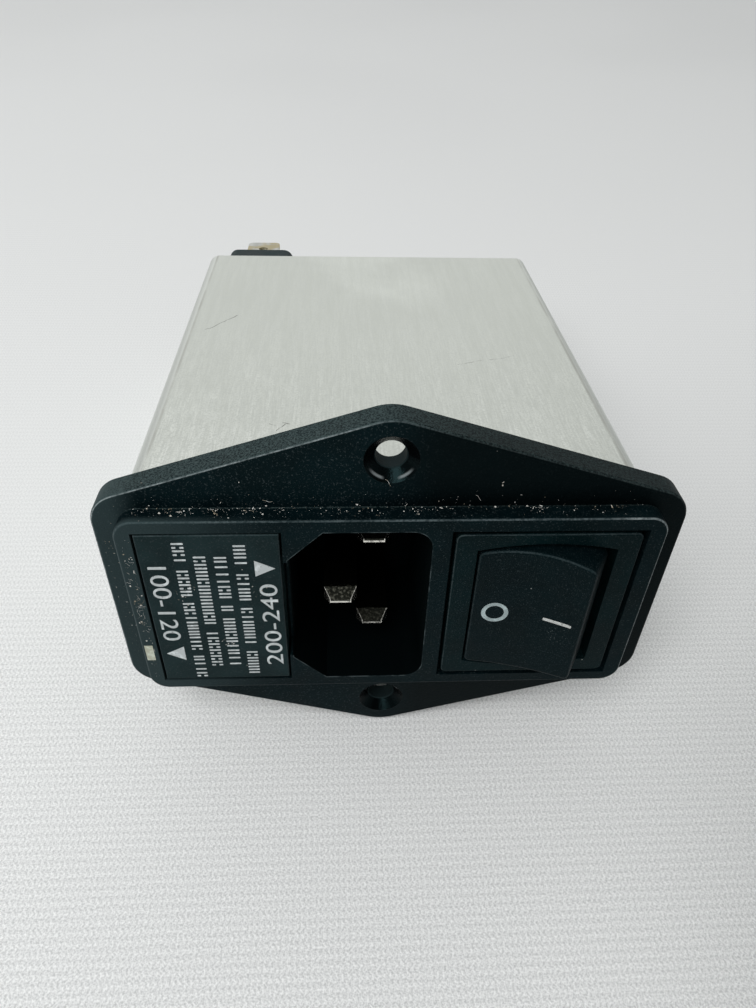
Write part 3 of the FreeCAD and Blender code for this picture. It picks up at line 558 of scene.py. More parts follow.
# %% [markdown]
# ### Rims and ledge of the housing
# The flange's rim has a bright broken line on its left, and the bezel's rim one at its right end, partly
# wear and partly painted highlight, so the edge group is used once more and limited to those stretches.
# Specks lie thicker on the flange just above the ledge that the bezel makes: there their share grows with a
# fade on Z.

# %% Bright rims and fine dust
LEFT_RIM_WEAR_AND_HIGHLIGHT, RIGHT_RIM_WEAR_AND_HIGHLIGHT = (0.24, 0.275, 0.28), (0.22, 0.25, 0.255)
FINE_DUST = (0.16, 0.165, 0.155)
DUST_SHARE, LEDGE_SHARE = 0.008, 0.26

# Bright rim lines: partly wear, partly painted highlight.
rim = use(worn_and_highlit_edge, place, Normal=surface_normal(place), Patches=520.0)["Mask"]
to_face = fade(calc("ABSOLUTE", facing_front), 0.62, 0.80)
flange_rim_wear_and_highlight = times(rim, to_face, on_flange, fade(x, -5.0 * MM, 1.0 * MM, 1.0, 0.05))
lay_over(shader, flange_rim_wear_and_highlight, LEFT_RIM_WEAR_AND_HIGHLIGHT, 0.6)
bezel_rim_wear_and_highlight = times(rim, on_bezel, fade(x, 23.0 * MM, 28.0 * MM))
lay_over(shader, bezel_rim_wear_and_highlight, RIGHT_RIM_WEAR_AND_HIGHLIGHT, 0.5)
settled = times(fade(z, 17.0 * MM, 14.0 * MM), fade(z, 13.2 * MM, 13.7 * MM))
share = times(calc("ADD", DUST_SHARE, times(settled, LEDGE_SHARE)), leftness)
fine_dust = use(dust_specks, place, Cells=2300.0, Share=share, Size=0.16)["Mask"]
lay_over(shader, fine_dust, FINE_DUST, 0.9)
print("rims of flange and bezel done")

# %% [markdown]
# ### Countersinks
# Screws have polished the two countersinks: within their radius everything is painted over with a smooth,
# glossy black. The bore below is dull again. Two short pale arcs on the cone, on the side towards the
# middle, are painted highlights.

# %% Polished countersinks
SCREW_Z = 20.0 * MM
SINK_RADIUS, HIGHLIGHT_RADIUS, BORE_RADIUS = 3.05 * MM, 2.60 * MM, 1.75 * MM

height = calc("ABSOLUTE", z)
from_screw = from_spot(x, height, 0.0, SCREW_Z)
polished = fade(from_screw, SINK_RADIUS, SINK_RADIUS - 0.1 * MM)
lay_over(shader, polished, (0.0008, 0.0012, 0.0014), 0.22)
bore = fade(from_screw, BORE_RADIUS + 0.1 * MM, BORE_RADIUS)
lay_over(shader, bore, (0.010, 0.016, 0.017), 0.6)
# Painted highlights: two short pale arcs on the countersink's cone.
highlight_ring = fade(away(from_screw, HIGHLIGHT_RADIUS), 0.17 * MM, 0.03 * MM)
beside = fade(calc("ABSOLUTE", x), 0.6 * MM, 1.2 * MM)
inner_side = fade(height, SCREW_Z - 1.1 * MM, SCREW_Z - 2.0 * MM)
lay_over(shader, times(highlight_ring, beside, inner_side), (0.17, 0.19, 0.195), 0.4)
print("countersinks", round(2 * SINK_RADIUS / MM, 2), "mm wide")

# %% [markdown]
# ### Mouth of the inlet
# The inlet's edge is sharp in the CAD model, so a pale, broken line is painted along it as a painted
# highlight, and inside, where hardly any light comes back, the walls are painted nearly black as painted
# shade. Both need the distance from the mouth's outline. On the right that is the distance from a
# rectangle with round corners, on the left the larger of the distances from the straight sides and from
# the slanted corners.

# %% Painted edge highlight and painted shade inside the inlet
MOUTH_X, MOUTH_HALF_W, MOUTH_HALF_H = -3.275 * MM, 8.025 * MM, 12.2 * MM
MOUTH_CUT, MOUTH_ROUND = 4.0 * MM, 2.3 * MM

across = calc("SUBTRACT", x, MOUTH_X)
past_side = calc("SUBTRACT", calc("ABSOLUTE", across), MOUTH_HALF_W)
past_top = calc("SUBTRACT", height, MOUTH_HALF_H)
past_cut = calc("SUBTRACT", height, calc("ADD", across, MOUTH_HALF_W + MOUTH_HALF_H - MOUTH_CUT))
straight = calc("MAXIMUM", past_side, past_top)
slanted = calc("MAXIMUM", times(past_cut, math.sqrt(0.5)), straight)
corner_x = calc("MAXIMUM", calc("ADD", past_side, MOUTH_ROUND), 0.0)
corner_z = calc("MAXIMUM", calc("ADD", past_top, MOUTH_ROUND), 0.0)
rounded = calc("SUBTRACT", from_spot(corner_x, corner_z, 0.0, 0.0), MOUTH_ROUND)
outside = fade(calc("GREATER_THAN", across, 0.0), 0.0, 1.0, slanted, rounded)
# Painted highlight along the mouth's edge, broken up by noise.
broken_up = fade(noise(place, 700.0, 5.0), 0.42, 0.66, 0.05, 0.75)
edge_line = fade(calc("ABSOLUTE", outside), 0.13 * MM, 0.05 * MM)
on_front = fade(y, BEZEL_FACE + 0.10 * MM, BEZEL_FACE + 0.02 * MM)
# Painted shade: the walls inside the mouth are painted nearly black.
inside = times(fade(outside, 0.2 * MM, 0.1 * MM), fade(on_front, 1.0, 0.0))
lay_over(shader, inside, (0.0003, 0.0005, 0.0006), 0.7)
lay_over(shader, times(edge_line, on_front, broken_up), PALE_RIM, 0.5)
print("inlet", round(2 * MOUTH_HALF_W / MM, 2), "by", round(2 * MOUTH_HALF_H / MM, 2), "mm")

# %% [markdown]
# ## Filter can
# The can is drawn from tinned steel sheet, satin and slightly green, with lines along its depth that are
# clearest near the flange. Towards the flange its top is painted lighter, a painted reflection, and a
# lighter band on the rounded long edges is a painted sheen. A soft worn line runs along both long edges,
# where the flat top turns into the rounded rim.

# %% Can metal
CAN_MIDDLE, CAN_FLAT = 0.3 * MM, 28.3 * MM

shader, place = new_finish("can_metal", (0.725, 0.75, 0.705), 0.44, Metallic=1.0)
x, y, _ = axes(place)
# Painted reflection: the top is lighter towards the flange.
near_flange = fade(y, 55.0 * MM, 5.0 * MM)
lay_over(shader, near_flange, (0.83, 0.855, 0.81), 0.45)
clearness = calc("ADD", 0.4, times(near_flange, 0.6))
lines = use(drawn_lines, place, Lines=4800.0, Stretch=16.0)
streaks = times(fade(lines["Height"], 0.35, 0.7), clearness)
lay_over(shader, streaks, (0.66, 0.685, 0.645), 0.5)
pitted = times(fade(noise(place, 4600.0, 3.0), 0.42, 0.66, 0.0, 0.8), clearness)
lay_over(shader, pitted, (0.60, 0.625, 0.585), 0.5)
lay_over(shader, times(lines["Tone"], 0.4), (0.63, 0.655, 0.61), 0.5)
smudge = use(tarnish, place, Patches=38.0, Cover=0.5)["Mask"]
lay_over(shader, times(smudge, 0.35), (0.55, 0.57, 0.53), 0.55)
off_middle = away(x, CAN_MIDDLE)
# Painted sheen: a lighter band on the rounded rims.
rim_sheen = fade(off_middle, CAN_FLAT, CAN_FLAT + 0.3 * MM, 0.0, 0.6)
lay_over(shader, rim_sheen, (0.76, 0.785, 0.75), 0.42)
edge_line = fade(away(off_middle, CAN_FLAT), 0.30 * MM, 0.04 * MM)
worn = fade(noise(place, 120.0, 5.0), 0.34, 0.66, 0.10, 0.70)
lay_over(shader, times(edge_line, worn), (0.46, 0.465, 0.43), 0.55)
press_relief(shader, lines["Height"], 0.004 * MM)
print("flat top", round(2 * CAN_FLAT / MM, 1), "mm wide")

# %% [markdown]
# ### Marks on the can
# On the way the can has picked up a dark scratch, a long hairline, three short nicks near the flange and a
# few dots. The scratches are placed where the photograph has them, each with its own copy of the scratch
# group, and the dots are sparse dark specks.

# %% Scratches and dots
CAN_MARKS = [
    ((-25.98, 40.02), (-21.70, 45.52), 0.10, 0.12),
    ((11.56, 29.25), (20.52, 31.78), 0.06, 0.25),
    ((-13.30, 11.80), (-12.20, 13.30), 0.12, 0.15),
    ((-12.60, 13.60), (-11.50, 13.00), 0.09, 0.15),
    ((-14.20, 13.40), (-13.30, 12.90), 0.08, 0.20),
]

for start, end, width, shade in CAN_MARKS:
    reach = Vector(end) - Vector(start)
    mark = use(scratch, place, Start=Vector(start).to_3d() * MM, Turn=math.atan2(reach.y, reach.x),
               Length=reach.length * MM, Width=width * MM)["Mask"]
    lay_over(shader, mark, (shade, shade, 0.92 * shade), 0.6)
dots = use(dust_specks, place, Cells=150.0, Share=0.10, Size=0.045)["Mask"]
lay_over(shader, dots, (0.10, 0.10, 0.09), 0.7)
print("can marks", len(CAN_MARKS))

# %% [markdown]
# ## Plated and bare metals
# The tabs are tinned and yellowing, the contacts brass, the fuse caps nickel-plated and the springs drawn
# steel. They differ only in colour, gloss and how far the tarnish has come, so one function makes them all.

# %% Tabs, contacts, caps and springs
def plated_metal(name, colour, roughness, stain, cover, lines_per_metre):
    shader, place = new_finish(name, colour, roughness, Metallic=1.0)
    lines = use(drawn_lines, place, Lines=lines_per_metre, Stretch=12.0)
    lay_over(shader, lines["Tone"], scaled(colour, 0.85), roughness + 0.08)
    stained = use(tarnish, place, Patches=320.0, Cover=cover)["Mask"]
    lay_over(shader, times(stained, 0.7), stain, roughness + 0.2)
    press_relief(shader, lines["Height"], 0.006 * MM)


plated_metal("tab_tin", (0.54, 0.55, 0.52), 0.34, (0.46, 0.38, 0.18), 0.36, 4200.0)
plated_metal("contact_brass", (0.74, 0.55, 0.24), 0.30, (0.36, 0.24, 0.10), 0.45, 5200.0)
plated_metal("fuse_nickel", (0.72, 0.70, 0.66), 0.22, (0.48, 0.44, 0.36), 0.35, 6200.0)
plated_metal("spring_steel", (0.55, 0.55, 0.55), 0.30, (0.30, 0.28, 0.25), 0.4, 8000.0)
print("metals: 4")

# %% [markdown]
# ### Contact pins
# The flat pins are painted dark with lighter mottled tarnish: painted shade, because their metal mirrors
# the dark well. Only the lower lips of their front faces and the edges of the bevels are painted bright, as
# painted highlights. Front faces are found by the normal. The bevel's edges run inwards towards the tip at
# a fixed angle, so a line at that half-width from the pin's middle is painted bright. Behind the bevel the
# shaft is painted nearly black, also as painted shade.

# %% Contact pins
PIN_MIDDLES = 3.45 * MM
PIN_HALF_GAP = 2.0 * MM
PIN_ROWS = 7.0 * MM
EARTH_TIP, LIVE_TIP = -3.95 * MM, -1.0 * MM
BEVEL, BEVEL_SLOPE = 1.5 * MM, math.tan(math.radians(26.0))
TIP_HALF_WIDTH = 2.0 * MM - BEVEL * BEVEL_SLOPE
NICKEL_HIGHLIGHT = (0.86, 0.84, 0.77)

# Painted shade: the pins' metal is painted dark, as it mirrors the dark well.
shader, place = new_finish("pin_nickel", (0.018, 0.019, 0.015), 0.34, Metallic=1.0)
x, y, z = axes(place)
live_side = calc("GREATER_THAN", x, -PIN_MIDDLES)
mottle = use(tarnish, place, Patches=3300.0, Cover=0.29)["Mask"]
mottle = times(mottle, fade(live_side, 0.0, 1.0, 0.8, 0.25))
lay_over(shader, mottle, (0.13, 0.13, 0.105), 0.42)

tip = calc("ADD", EARTH_TIP, times(live_side, LIVE_TIP - EARTH_TIP))
behind_tip = calc("SUBTRACT", y, tip)
# Behind the bevel the shaft is painted nearly black: painted shade.
shaft_shade = fade(behind_tip, BEVEL, 1.4 * BEVEL)
lay_over(shader, shaft_shade, (0.022, 0.022, 0.019), 0.36)

# Painted highlights: pale lines on the bevel edges and on the lower lips of the front faces.
broken_up = fade(noise(place, 2600.0, 3.0), 0.3, 0.55, 0.35, 1.0)
from_middle = away(away(x, -PIN_MIDDLES), PIN_HALF_GAP)
half_width = calc("ADD", TIP_HALF_WIDTH, times(behind_tip, BEVEL_SLOPE))
on_bevel = fade(behind_tip, BEVEL, 0.9 * BEVEL)
edge_line = times(fade(away(from_middle, half_width), 0.13 * MM, 0.05 * MM), on_bevel)
lay_over(shader, times(edge_line, broken_up), NICKEL_HIGHLIGHT, 0.25)
pin_row = calc("FLOORED_MODULO", calc("ADD", z, 0.5 * PIN_ROWS), PIN_ROWS)
lower_half = fade(pin_row, 0.5 * PIN_ROWS + 0.04 * MM, 0.5 * PIN_ROWS - 0.06 * MM)
looks_forward = fade(calc("ABSOLUTE", axes(surface_normal(place))["Y"]), 0.8, 0.95)
lay_over(shader, times(looks_forward, lower_half, broken_up), NICKEL_HIGHLIGHT, 0.25)
press_relief(shader, noise(place, 2600.0, 4.0), 0.03 * MM)
print("pin front half width", round(TIP_HALF_WIDTH / MM, 2), "mm")

# %% [markdown]
# ## Marker, nylon and glass
# The index marker is a cream inlay, soiled in places. The plungers are natural nylon, which lets a little
# light in, so some subsurface goes on the shader. The fuse tubes are plain glass with a faint film on them;
# only the roughness carries that film, and transmission and metal stay plain values.

# %% Marker, nylon and fuse glass
CLEAR_GLASS, FILMED_GLASS = 0.03, 0.16

shader, place = new_finish("marker_cream", (0.53, 0.57, 0.48), 0.55)
soiled = use(tarnish, place, Patches=1400.0, Cover=0.45)["Mask"]
lay_over(shader, times(soiled, 0.6), (0.32, 0.31, 0.22), 0.7)
press_relief(shader, noise(place, 4000.0), 0.015 * MM)

shader, place = new_finish("plunger_nylon", (0.78, 0.76, 0.68), 0.4, Subsurface_Weight=0.25,
                           Subsurface_Scale=0.6 * MM)
greased = use(tarnish, place, Patches=900.0, Cover=0.4)["Mask"]
lay_over(shader, times(greased, 0.5), (0.58, 0.52, 0.38), 0.25)
press_relief(shader, noise(place, 5000.0), 0.01 * MM)

shader, place = new_finish("fuse_glass", (0.95, 0.98, 0.97), CLEAR_GLASS, Transmission_Weight=1.0, IOR=1.5)
film = use(tarnish, place, Patches=420.0, Cover=0.4)["Mask"]
plug(fade(film, 0.0, 1.0, CLEAR_GLASS, FILMED_GLASS), shader.inputs["Roughness"])
print("marker, nylon and glass done")

# %% [markdown]
# ## Filter board and choke
# These sit inside the can, and nobody sees them until it is opened; the finishes are still those of the
# real pieces. The board is green mask over a glass weave, and the ring is dark ferrite. The windings show
# their separate turns: the angle around the ring's axis, folded to and fro, presses them into the copper.

# %% Board and ring
WEAVE_SCALE = 500.0

shader, place = new_finish("board_green", (0.018, 0.10, 0.045), 0.32, Coat_Weight=0.3)
weave = times(wave(place, "X", WEAVE_SCALE), wave(place, "Y", WEAVE_SCALE))
lay_over(shader, fade(weave, 0.3, 1.0, 0.0, 0.6), (0.035, 0.14, 0.06), 0.4)
pads = use(dust_specks, place, Cells=260.0, Share=0.3, Size=0.28)["Mask"]
lay_over(shader, pads, (0.45, 0.44, 0.40), 0.3)

shader, place = new_finish("core_grey", (0.032, 0.033, 0.036), 0.55)
grit = use(moulded_grain, place, Grains=3000.0)
lay_over(shader, grit["Tone"], (0.055, 0.056, 0.060), 0.7)
press_relief(shader, grit["Height"], 0.03 * MM)
print("board and ring done")

# %% Copper turns
TURNS_ROUND = 74
core_low, core_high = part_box("choke_core")
ring_centre = (core_low + core_high) / 2

shader, place = new_finish("copper_wire", (0.62, 0.25, 0.10), 0.28, Metallic=1.0, Coat_Weight=0.4)
centred = add("ShaderNodeMapping", {"Vector": place, "Location": -ring_centre}).outputs[0]
angle = add("ShaderNodeTexGradient", {"Vector": centred}, gradient_type="RADIAL").outputs["Fac"]
turn = calc("PINGPONG", times(angle, 2.0 * TURNS_ROUND), 1.0)
# Painted shade: the grooves between the turns are painted darker.
lay_over(shader, fade(turn, 0.35, 0.0), (0.16, 0.05, 0.02), 0.5)
press_relief(shader, fade(turn, 0.0, 1.0), 0.12 * MM)
print("copper turns around the ring:", TURNS_ROUND)

# %% [markdown]
# ### Capacitors and resistor
# Capacitors are dipped or cast in resin, which comes out smooth, glossy and a little cloudy. The resistor
# has the same coat and four colour bands, each a stripe at its share of the body's length.

# %% Dipped pieces
BANDS = [
    (0.36, (0.20, 0.04, 0.02)),
    (0.45, (0.02, 0.02, 0.02)),
    (0.54, (0.60, 0.42, 0.02)),
    (0.66, (0.50, 0.34, 0.08)),
]


def dipped(name, colour, roughness):
    """Smooth dip or moulded resin with a cloudy tone."""
    shader, place = new_finish(name, colour, roughness)
    cloud = use(tarnish, place, Patches=220.0, Cover=0.5)["Mask"]
    lay_over(shader, times(cloud, 0.5), scaled(colour, 0.7), roughness + 0.1)
    press_relief(shader, noise(place, 900.0), 0.02 * MM)
    return shader, place


dipped("film_yellow", (0.68, 0.42, 0.05), 0.38)
dipped("disc_blue", (0.03, 0.12, 0.40), 0.25)
shader, place = dipped("resistor_tan", (0.55, 0.40, 0.22), 0.35)
resistor_low, resistor_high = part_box("bleed_resistor")
for share, colour in BANDS:
    middle = resistor_low.x + share * (resistor_high.x - resistor_low.x)
    lay_over(shader, fade(away(axes(place)["X"], middle), 0.35 * MM, 0.28 * MM), colour, 0.35)
print("resistor bands:", len(BANDS))

# %% [markdown]
# ## Putting the finishes on
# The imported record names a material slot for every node, and the finishes above carry the same names. So
# the CAD nodes get them by looking the slot up, and no node is forgotten.

# %% Finish every node
for subpart in frame["record"]["subparts"]:
    mesh = frame["nodes"][subpart["node"]].data
    mesh.materials[0] = FINISHES[subpart["material_slot"]]

# %% [markdown]
# ## Ink
# Drawer print and switch marks are screen-printed: a thin pale film that chips and rubs away, and the ring
# on the switch is a little bluer than the bar. The film is modelled as thin raised pieces, because a print
# that is only a texture cannot be moved or exported. Its finish takes small holes out of it through Alpha,
# so that the black shows where the ink has gone.

# %% Worn ink
def worn_ink(name, colour, missing):
    shader, place = new_finish(name, colour, 0.55)
    cloud = use(tarnish, place, Patches=900.0, Cover=0.5)["Mask"]
    lay_over(shader, cloud, scaled(colour, 0.72), 0.65)
    chips = use(tarnish, place, Patches=3600.0, Cover=missing)["Mask"]
    plug(fade(chips, 0.2, 0.8, 1.0, 0.0), shader.inputs["Alpha"])


worn_ink("drawer_ink", (0.64, 0.69, 0.70), 0.12)
worn_ink("switch_ink", (0.66, 0.68, 0.66), 0.16)
worn_ink("ring_ink", (0.40, 0.49, 0.50), 0.10)
print("inks: 3")

# %% [markdown]
# ## Modelling by operators
# The pieces that follow are modelled as by hand: a primitive is added, shaped in edit mode and closed. The
# steps that many of them need are helpers. A plane, a circle or a text is only the start of a piece, and its
# place goes into its mesh, so that every finished object sits at the origin.

# %% Modelling helpers
FACE_ON = (math.pi / 2, 0, 0)


def edit_all():
    """Enters edit mode with everything selected."""
    bpy.ops.object.mode_set(mode="EDIT")
    bpy.ops.mesh.select_all(action="SELECT")


def turn_outwards():
    """Makes all faces point outwards and leaves edit mode."""
    bpy.ops.mesh.select_all(action="SELECT")
    bpy.ops.mesh.normals_make_consistent(inside=False)
    bpy.ops.object.mode_set(mode="OBJECT")


def start_plane(name, width, height, middle):
    """Plane that looks along -Y, with its size and place in the mesh, left in edit mode with all selected."""
    bpy.ops.object.select_all(action="DESELECT")
    bpy.ops.mesh.primitive_plane_add(size=1.0, location=middle, rotation=FACE_ON)
    piece = bpy.context.object
    piece.name = name
    piece.scale = (width, height, 1.0)
    bpy.ops.object.transform_apply(location=True, rotation=True, scale=True)
    edit_all()
    return piece


def thicken(rise):
    """Extrudes what is in edit mode towards the viewer and closes it as a solid film."""
    bpy.ops.mesh.select_all(action="SELECT")
    bpy.ops.mesh.extrude_region_move(TRANSFORM_OT_translate={"value": (0, -rise, 0)})
    turn_outwards()


def copy_to(piece, name, shift):
    """A copy with its own mesh, moved by changing the mesh."""
    twin = piece.copy()
    twin.data = piece.data.copy()
    twin.name = name
    twin.data.transform(shift)
    bpy.context.collection.objects.link(twin)
    return twin


def join_as(name, pieces, finish, body):
    """Joins pieces into one, gives it its finish and lets it ride on a body."""
    bpy.ops.object.select_all(action="DESELECT")
    for piece in pieces:
        piece.select_set(True)
    bpy.context.view_layer.objects.active = pieces[0]
    bpy.ops.object.join()
    joined = bpy.context.object
    joined.name = name
    joined.data.materials.clear()
    joined.data.materials.append(FINISHES[finish])
    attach(joined, body)


print("modelling helpers ready")

# %% [markdown]
# ## Print on the drawer
# The drawer's face carries two number rows, one for each way round that the drawer can be pushed in, each
# with a triangle that meets the cream marker. Between them run four rows of plain strokes in groups. A
# stroke is modelled once, as a plane with rounded corners that is extruded to the thickness of the ink, and
# copied along each row. A fixed seed chooses between a pair of strokes, a stroke beside a broken one, and a
# single one.

# %% Rows of strokes
INK_RISE, INK_SINK = 0.02 * MM, 0.01 * MM
STROKE, CORNER = 0.25 * MM, 0.07 * MM
MARK_HALF = 0.28 * MM
BROKEN_LENGTH, BROKEN_SIDE = 0.34, 0.33
KIND_WEIGHTS = (4, 3, 2)
GROUP_GAP = 0.9
ROWS = [
    ("small_print_1", -22.95, 10.6, -11.2, 1.30, (3, 4, 8, 4)),
    ("small_print_2", -20.83, 8.6, -9.1, 1.35, (10, 6)),
    ("small_print_3", -18.60, 8.5, -9.2, 1.40, (6, 1, 8)),
    ("small_print_4", -16.38, 10.2, -10.7, 1.35, (3, 4, 6, 4)),
]
drawer_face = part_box("fuse_drawer")[0].y
chooser = random.Random(11)


def stroke(length, across, along):
    """One stroke on the drawer's face, shifted from the origin across and along its row."""
    piece = start_plane("stroke", length, STROKE, (across, drawer_face + INK_SINK, along))
    bpy.ops.mesh.bevel(offset=CORNER, segments=2, affect="VERTICES")
    thicken(INK_RISE + INK_SINK)
    return piece


def mark_kinds(height):
    """The three marks that a row is made of, each as a list of strokes around the origin."""
    twin = [stroke(height, 0, MARK_HALF), stroke(height, 0, -MARK_HALF)]
    split = [stroke(height, 0, MARK_HALF)]
    for side in (BROKEN_SIDE * height, -BROKEN_SIDE * height):
        split.append(stroke(BROKEN_LENGTH * height, side, -MARK_HALF))
    single = [stroke(height, 0, 0)]
    return [twin, split, single]


for name, row_x, row_top, row_end, height, groups in ROWS:
    kinds = mark_kinds(height * MM)
    pitch = (row_top - row_end) / (sum(groups) - 1 + GROUP_GAP * (len(groups) - 1))
    marks = []
    mark_z = row_top
    for count in groups:
        for step in range(count):
            spot = Matrix.Translation(Vector((row_x, 0, mark_z)) * MM)
            for piece in chooser.choices(kinds, weights=KIND_WEIGHTS)[0]:
                marks.append(copy_to(piece, "stroke", spot))
            mark_z -= pitch
        mark_z -= GROUP_GAP * pitch
    for piece in sum(kinds, []):
        bpy.data.objects.remove(piece)
    join_as(name, marks, "drawer_ink", "drawer")
    print(name, "strokes", len(marks), "pitch", round(pitch, 2), "mm")

# %% [markdown]
# ### Triangles
# Each triangle points outwards, to the side where the marker is when the drawer is in that way round. It
# starts as a plane, and merging the two corners at one end turns the plane into a triangle with exactly the
# width and height that were given.

# %% Two index triangles
def select_where(piece, test):
    """Selects the vertices whose place passes the test, and no others."""
    bpy.ops.mesh.select_all(action="DESELECT")
    grid = bmesh.from_edit_mesh(piece.data)
    for corner in grid.verts:
        corner.select = test(corner.co)
    grid.select_flush_mode()
    bmesh.update_edit_mesh(piece.data)


def triangle(name, base_x, tip_x, middle_z, base):
    middle = ((base_x + tip_x) / 2 * MM, drawer_face + INK_SINK, middle_z * MM)
    piece = start_plane(name, abs(tip_x - base_x) * MM, base * MM, middle)
    toward = math.copysign(1.0, tip_x - base_x)
    select_where(piece, lambda place: (place.x - middle[0]) * toward > 0)
    bpy.ops.mesh.merge(type="CENTER")
    thicken(INK_RISE + INK_SINK)
    join_as(name, [piece], "drawer_ink", "drawer")


triangle("triangle_left", -24.53, -26.75, -7.10, 2.5)
triangle("triangle_right", -14.93, -12.66, 7.08, 2.4)
print("triangles: 2")

# %% [markdown]
# ### Voltage numbers
# The numbers are ordinary text. Text is a curve in Blender, so it is given its thickness, turned into a
# mesh, and only then laid on the drawer: one row reads down, the other up. Each row is fitted to a stated
# length and height, because the digits on such drawers are narrow.

# %% Number rows
def number_row(name, digits, start, reading, tops, height, length):
    """Raised digits; reading and tops are the directions of the row and of the digits' upper ends."""
    bpy.ops.object.select_all(action="DESELECT")
    bpy.ops.object.text_add()
    piece = bpy.context.object
    piece.data.body = digits
    piece.data.extrude = INK_RISE
    piece.data.resolution_u = 5
    bpy.ops.object.convert(target="MESH")
    piece = bpy.context.object
    edit_all()
    bpy.ops.mesh.remove_doubles(threshold=1e-6)
    turn_outwards()
    wide = max(corner.co.x for corner in piece.data.vertices)
    tall = max(corner.co.y for corner in piece.data.vertices)
    along = Vector(reading) * (length * MM / wide)
    up = Vector(tops) * (height * MM / tall)
    lay = Matrix((along, up, Vector((0, -1, 0)))).transposed().to_4x4()
    spot = Vector((start[0] * MM, drawer_face, start[1] * MM))
    piece.data.transform(Matrix.Translation(spot) @ lay)
    join_as(name, [piece], "drawer_ink", "drawer")


number_row("number_left", "100-120", (-26.65, 8.3), (0, 0, -1), (1, 0, 0), 2.05, 13.0)
number_row("number_right", "200-240", (-12.65, -9.6), (0, 0, 1), (-1, 0, 0), 2.0, 14.2)
print("number rows: 2")

# %% [markdown]
# ## Switch marks
# The ring for off and the bar for on are printed on the rocker's hollow face. A flat mark would cut through
# that curve or float over it, so each is drawn flat in front of the rocker, dropped onto it along Y with a
# Shrinkwrap modifier, and extruded to a film. The bar is subdivided first, so that it can follow the curve.

# %% Ring and bar on the rocker
IN_FRONT = -14 * MM
RING_MIDDLE = Vector((12.83 * MM, IN_FRONT, -0.18 * MM))
RING_OUT, RING_IN = 1.60 * MM, 1.10 * MM
BAR_MIDDLE = Vector((19.84 * MM, IN_FRONT, -0.06 * MM))
BAR_LENGTH, BAR_WIDTH, BAR_CORNER = 3.0 * MM, 0.44 * MM, 0.1 * MM
RING_SIDES, BAR_CUTS = 48, 9


def drop_on_rocker(piece):
    """Projects a flat mark onto the rocker and makes it a film."""
    bpy.ops.object.mode_set(mode="OBJECT")
    wrap = piece.modifiers.new("drop", "SHRINKWRAP")
    wrap.target = frame["nodes"]["rocker"]
    wrap.wrap_method = "PROJECT"
    wrap.use_project_y = True
    wrap.use_positive_direction = True
    wrap.use_negative_direction = False
    wrap.offset = 0.0
    bpy.ops.object.modifier_apply(modifier="drop")
    bpy.ops.object.mode_set(mode="EDIT")
    thicken(INK_RISE)


bpy.ops.object.select_all(action="DESELECT")
bpy.ops.mesh.primitive_circle_add(vertices=RING_SIDES, radius=RING_OUT, location=RING_MIDDLE,
                                  rotation=FACE_ON)
ring = bpy.context.object
bpy.ops.object.transform_apply(location=True, rotation=True, scale=True)
edit_all()
bpy.ops.mesh.extrude_edges_move()
inward = RING_IN / RING_OUT
bpy.ops.transform.resize(value=(inward, inward, inward), center_override=RING_MIDDLE)
drop_on_rocker(ring)
join_as("mark_off", [ring], "ring_ink", "rocker")

bar = start_plane("mark_on", BAR_LENGTH, BAR_WIDTH, BAR_MIDDLE)
bpy.ops.mesh.bevel(offset=BAR_CORNER, segments=2, affect="VERTICES")
bpy.ops.mesh.subdivide(number_cuts=BAR_CUTS)
drop_on_rocker(bar)
join_as("mark_on", [bar], "switch_ink", "rocker")
print("marks on the rocker: 2")

# %% [markdown]
# ## Springs behind the plungers
# Inside the rocker, a small coil spring pushes each plunger onto its see-saw contact. A rigid spring would
# be cut by the plunger that compresses it. The coil is modelled again here, and the CAD spring is hidden.
# A circle is the wire's section, and the Screw modifier winds it up.

# %% Two coil springs
PIVOT = Vector((17.75, -2.15, 0.0)) * MM
POLE_Z = 5.0 * MM
COIL_RADIUS, COIL_WIRE = 1.0 * MM, 0.2 * MM
COIL_TURNS, COIL_PITCH = 4, 0.79 * MM
COIL_START = 1.0 * MM + COIL_WIRE
WIRE_SIDES, TURN_STEPS = 10, 20
plunger_axis = Vector((math.sin(ROCKER_REST), math.cos(ROCKER_REST), 0.0))


def coil(name):
    """Spring along Z that starts at the origin, with its ends closed."""
    bpy.ops.object.select_all(action="DESELECT")
    bpy.ops.mesh.primitive_circle_add(vertices=WIRE_SIDES, radius=COIL_WIRE, location=(COIL_RADIUS, 0, 0),
                                      rotation=FACE_ON)
    piece = bpy.context.object
    piece.name = name
    bpy.ops.object.transform_apply(location=True, rotation=True, scale=True)
    winding = piece.modifiers.new("wind", "SCREW")
    winding.screw_offset = COIL_PITCH
    winding.iterations = COIL_TURNS
    winding.steps = TURN_STEPS
    winding.render_steps = TURN_STEPS
    bpy.ops.object.modifier_apply(modifier="wind")
    edit_all()
    bpy.ops.mesh.remove_doubles(threshold=1e-7)
    bpy.ops.mesh.fill_holes(sides=0)
    turn_outwards()
    bpy.ops.object.shade_smooth_by_angle(angle=math.radians(40))
    piece.data.materials.append(FINISHES["spring_steel"])
    return piece


spring = coil("coil")
lean = Vector((0, 0, 1)).rotation_difference(plunger_axis).to_matrix().to_4x4()
for number, pole in ((1, POLE_Z), (2, -POLE_Z)):
    seat = PIVOT + Vector((0, 0, pole)) + COIL_START * plunger_axis
    piece = copy_to(spring, "coil_spring_%d" % number, Matrix.Translation(seat) @ lean)
    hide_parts("plunger_spring_%d" % number)
    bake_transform(piece)
bpy.data.objects.remove(spring)
print("springs: 2, length", round((COIL_TURNS * COIL_PITCH + 2 * COIL_WIRE) / MM, 2), "mm")

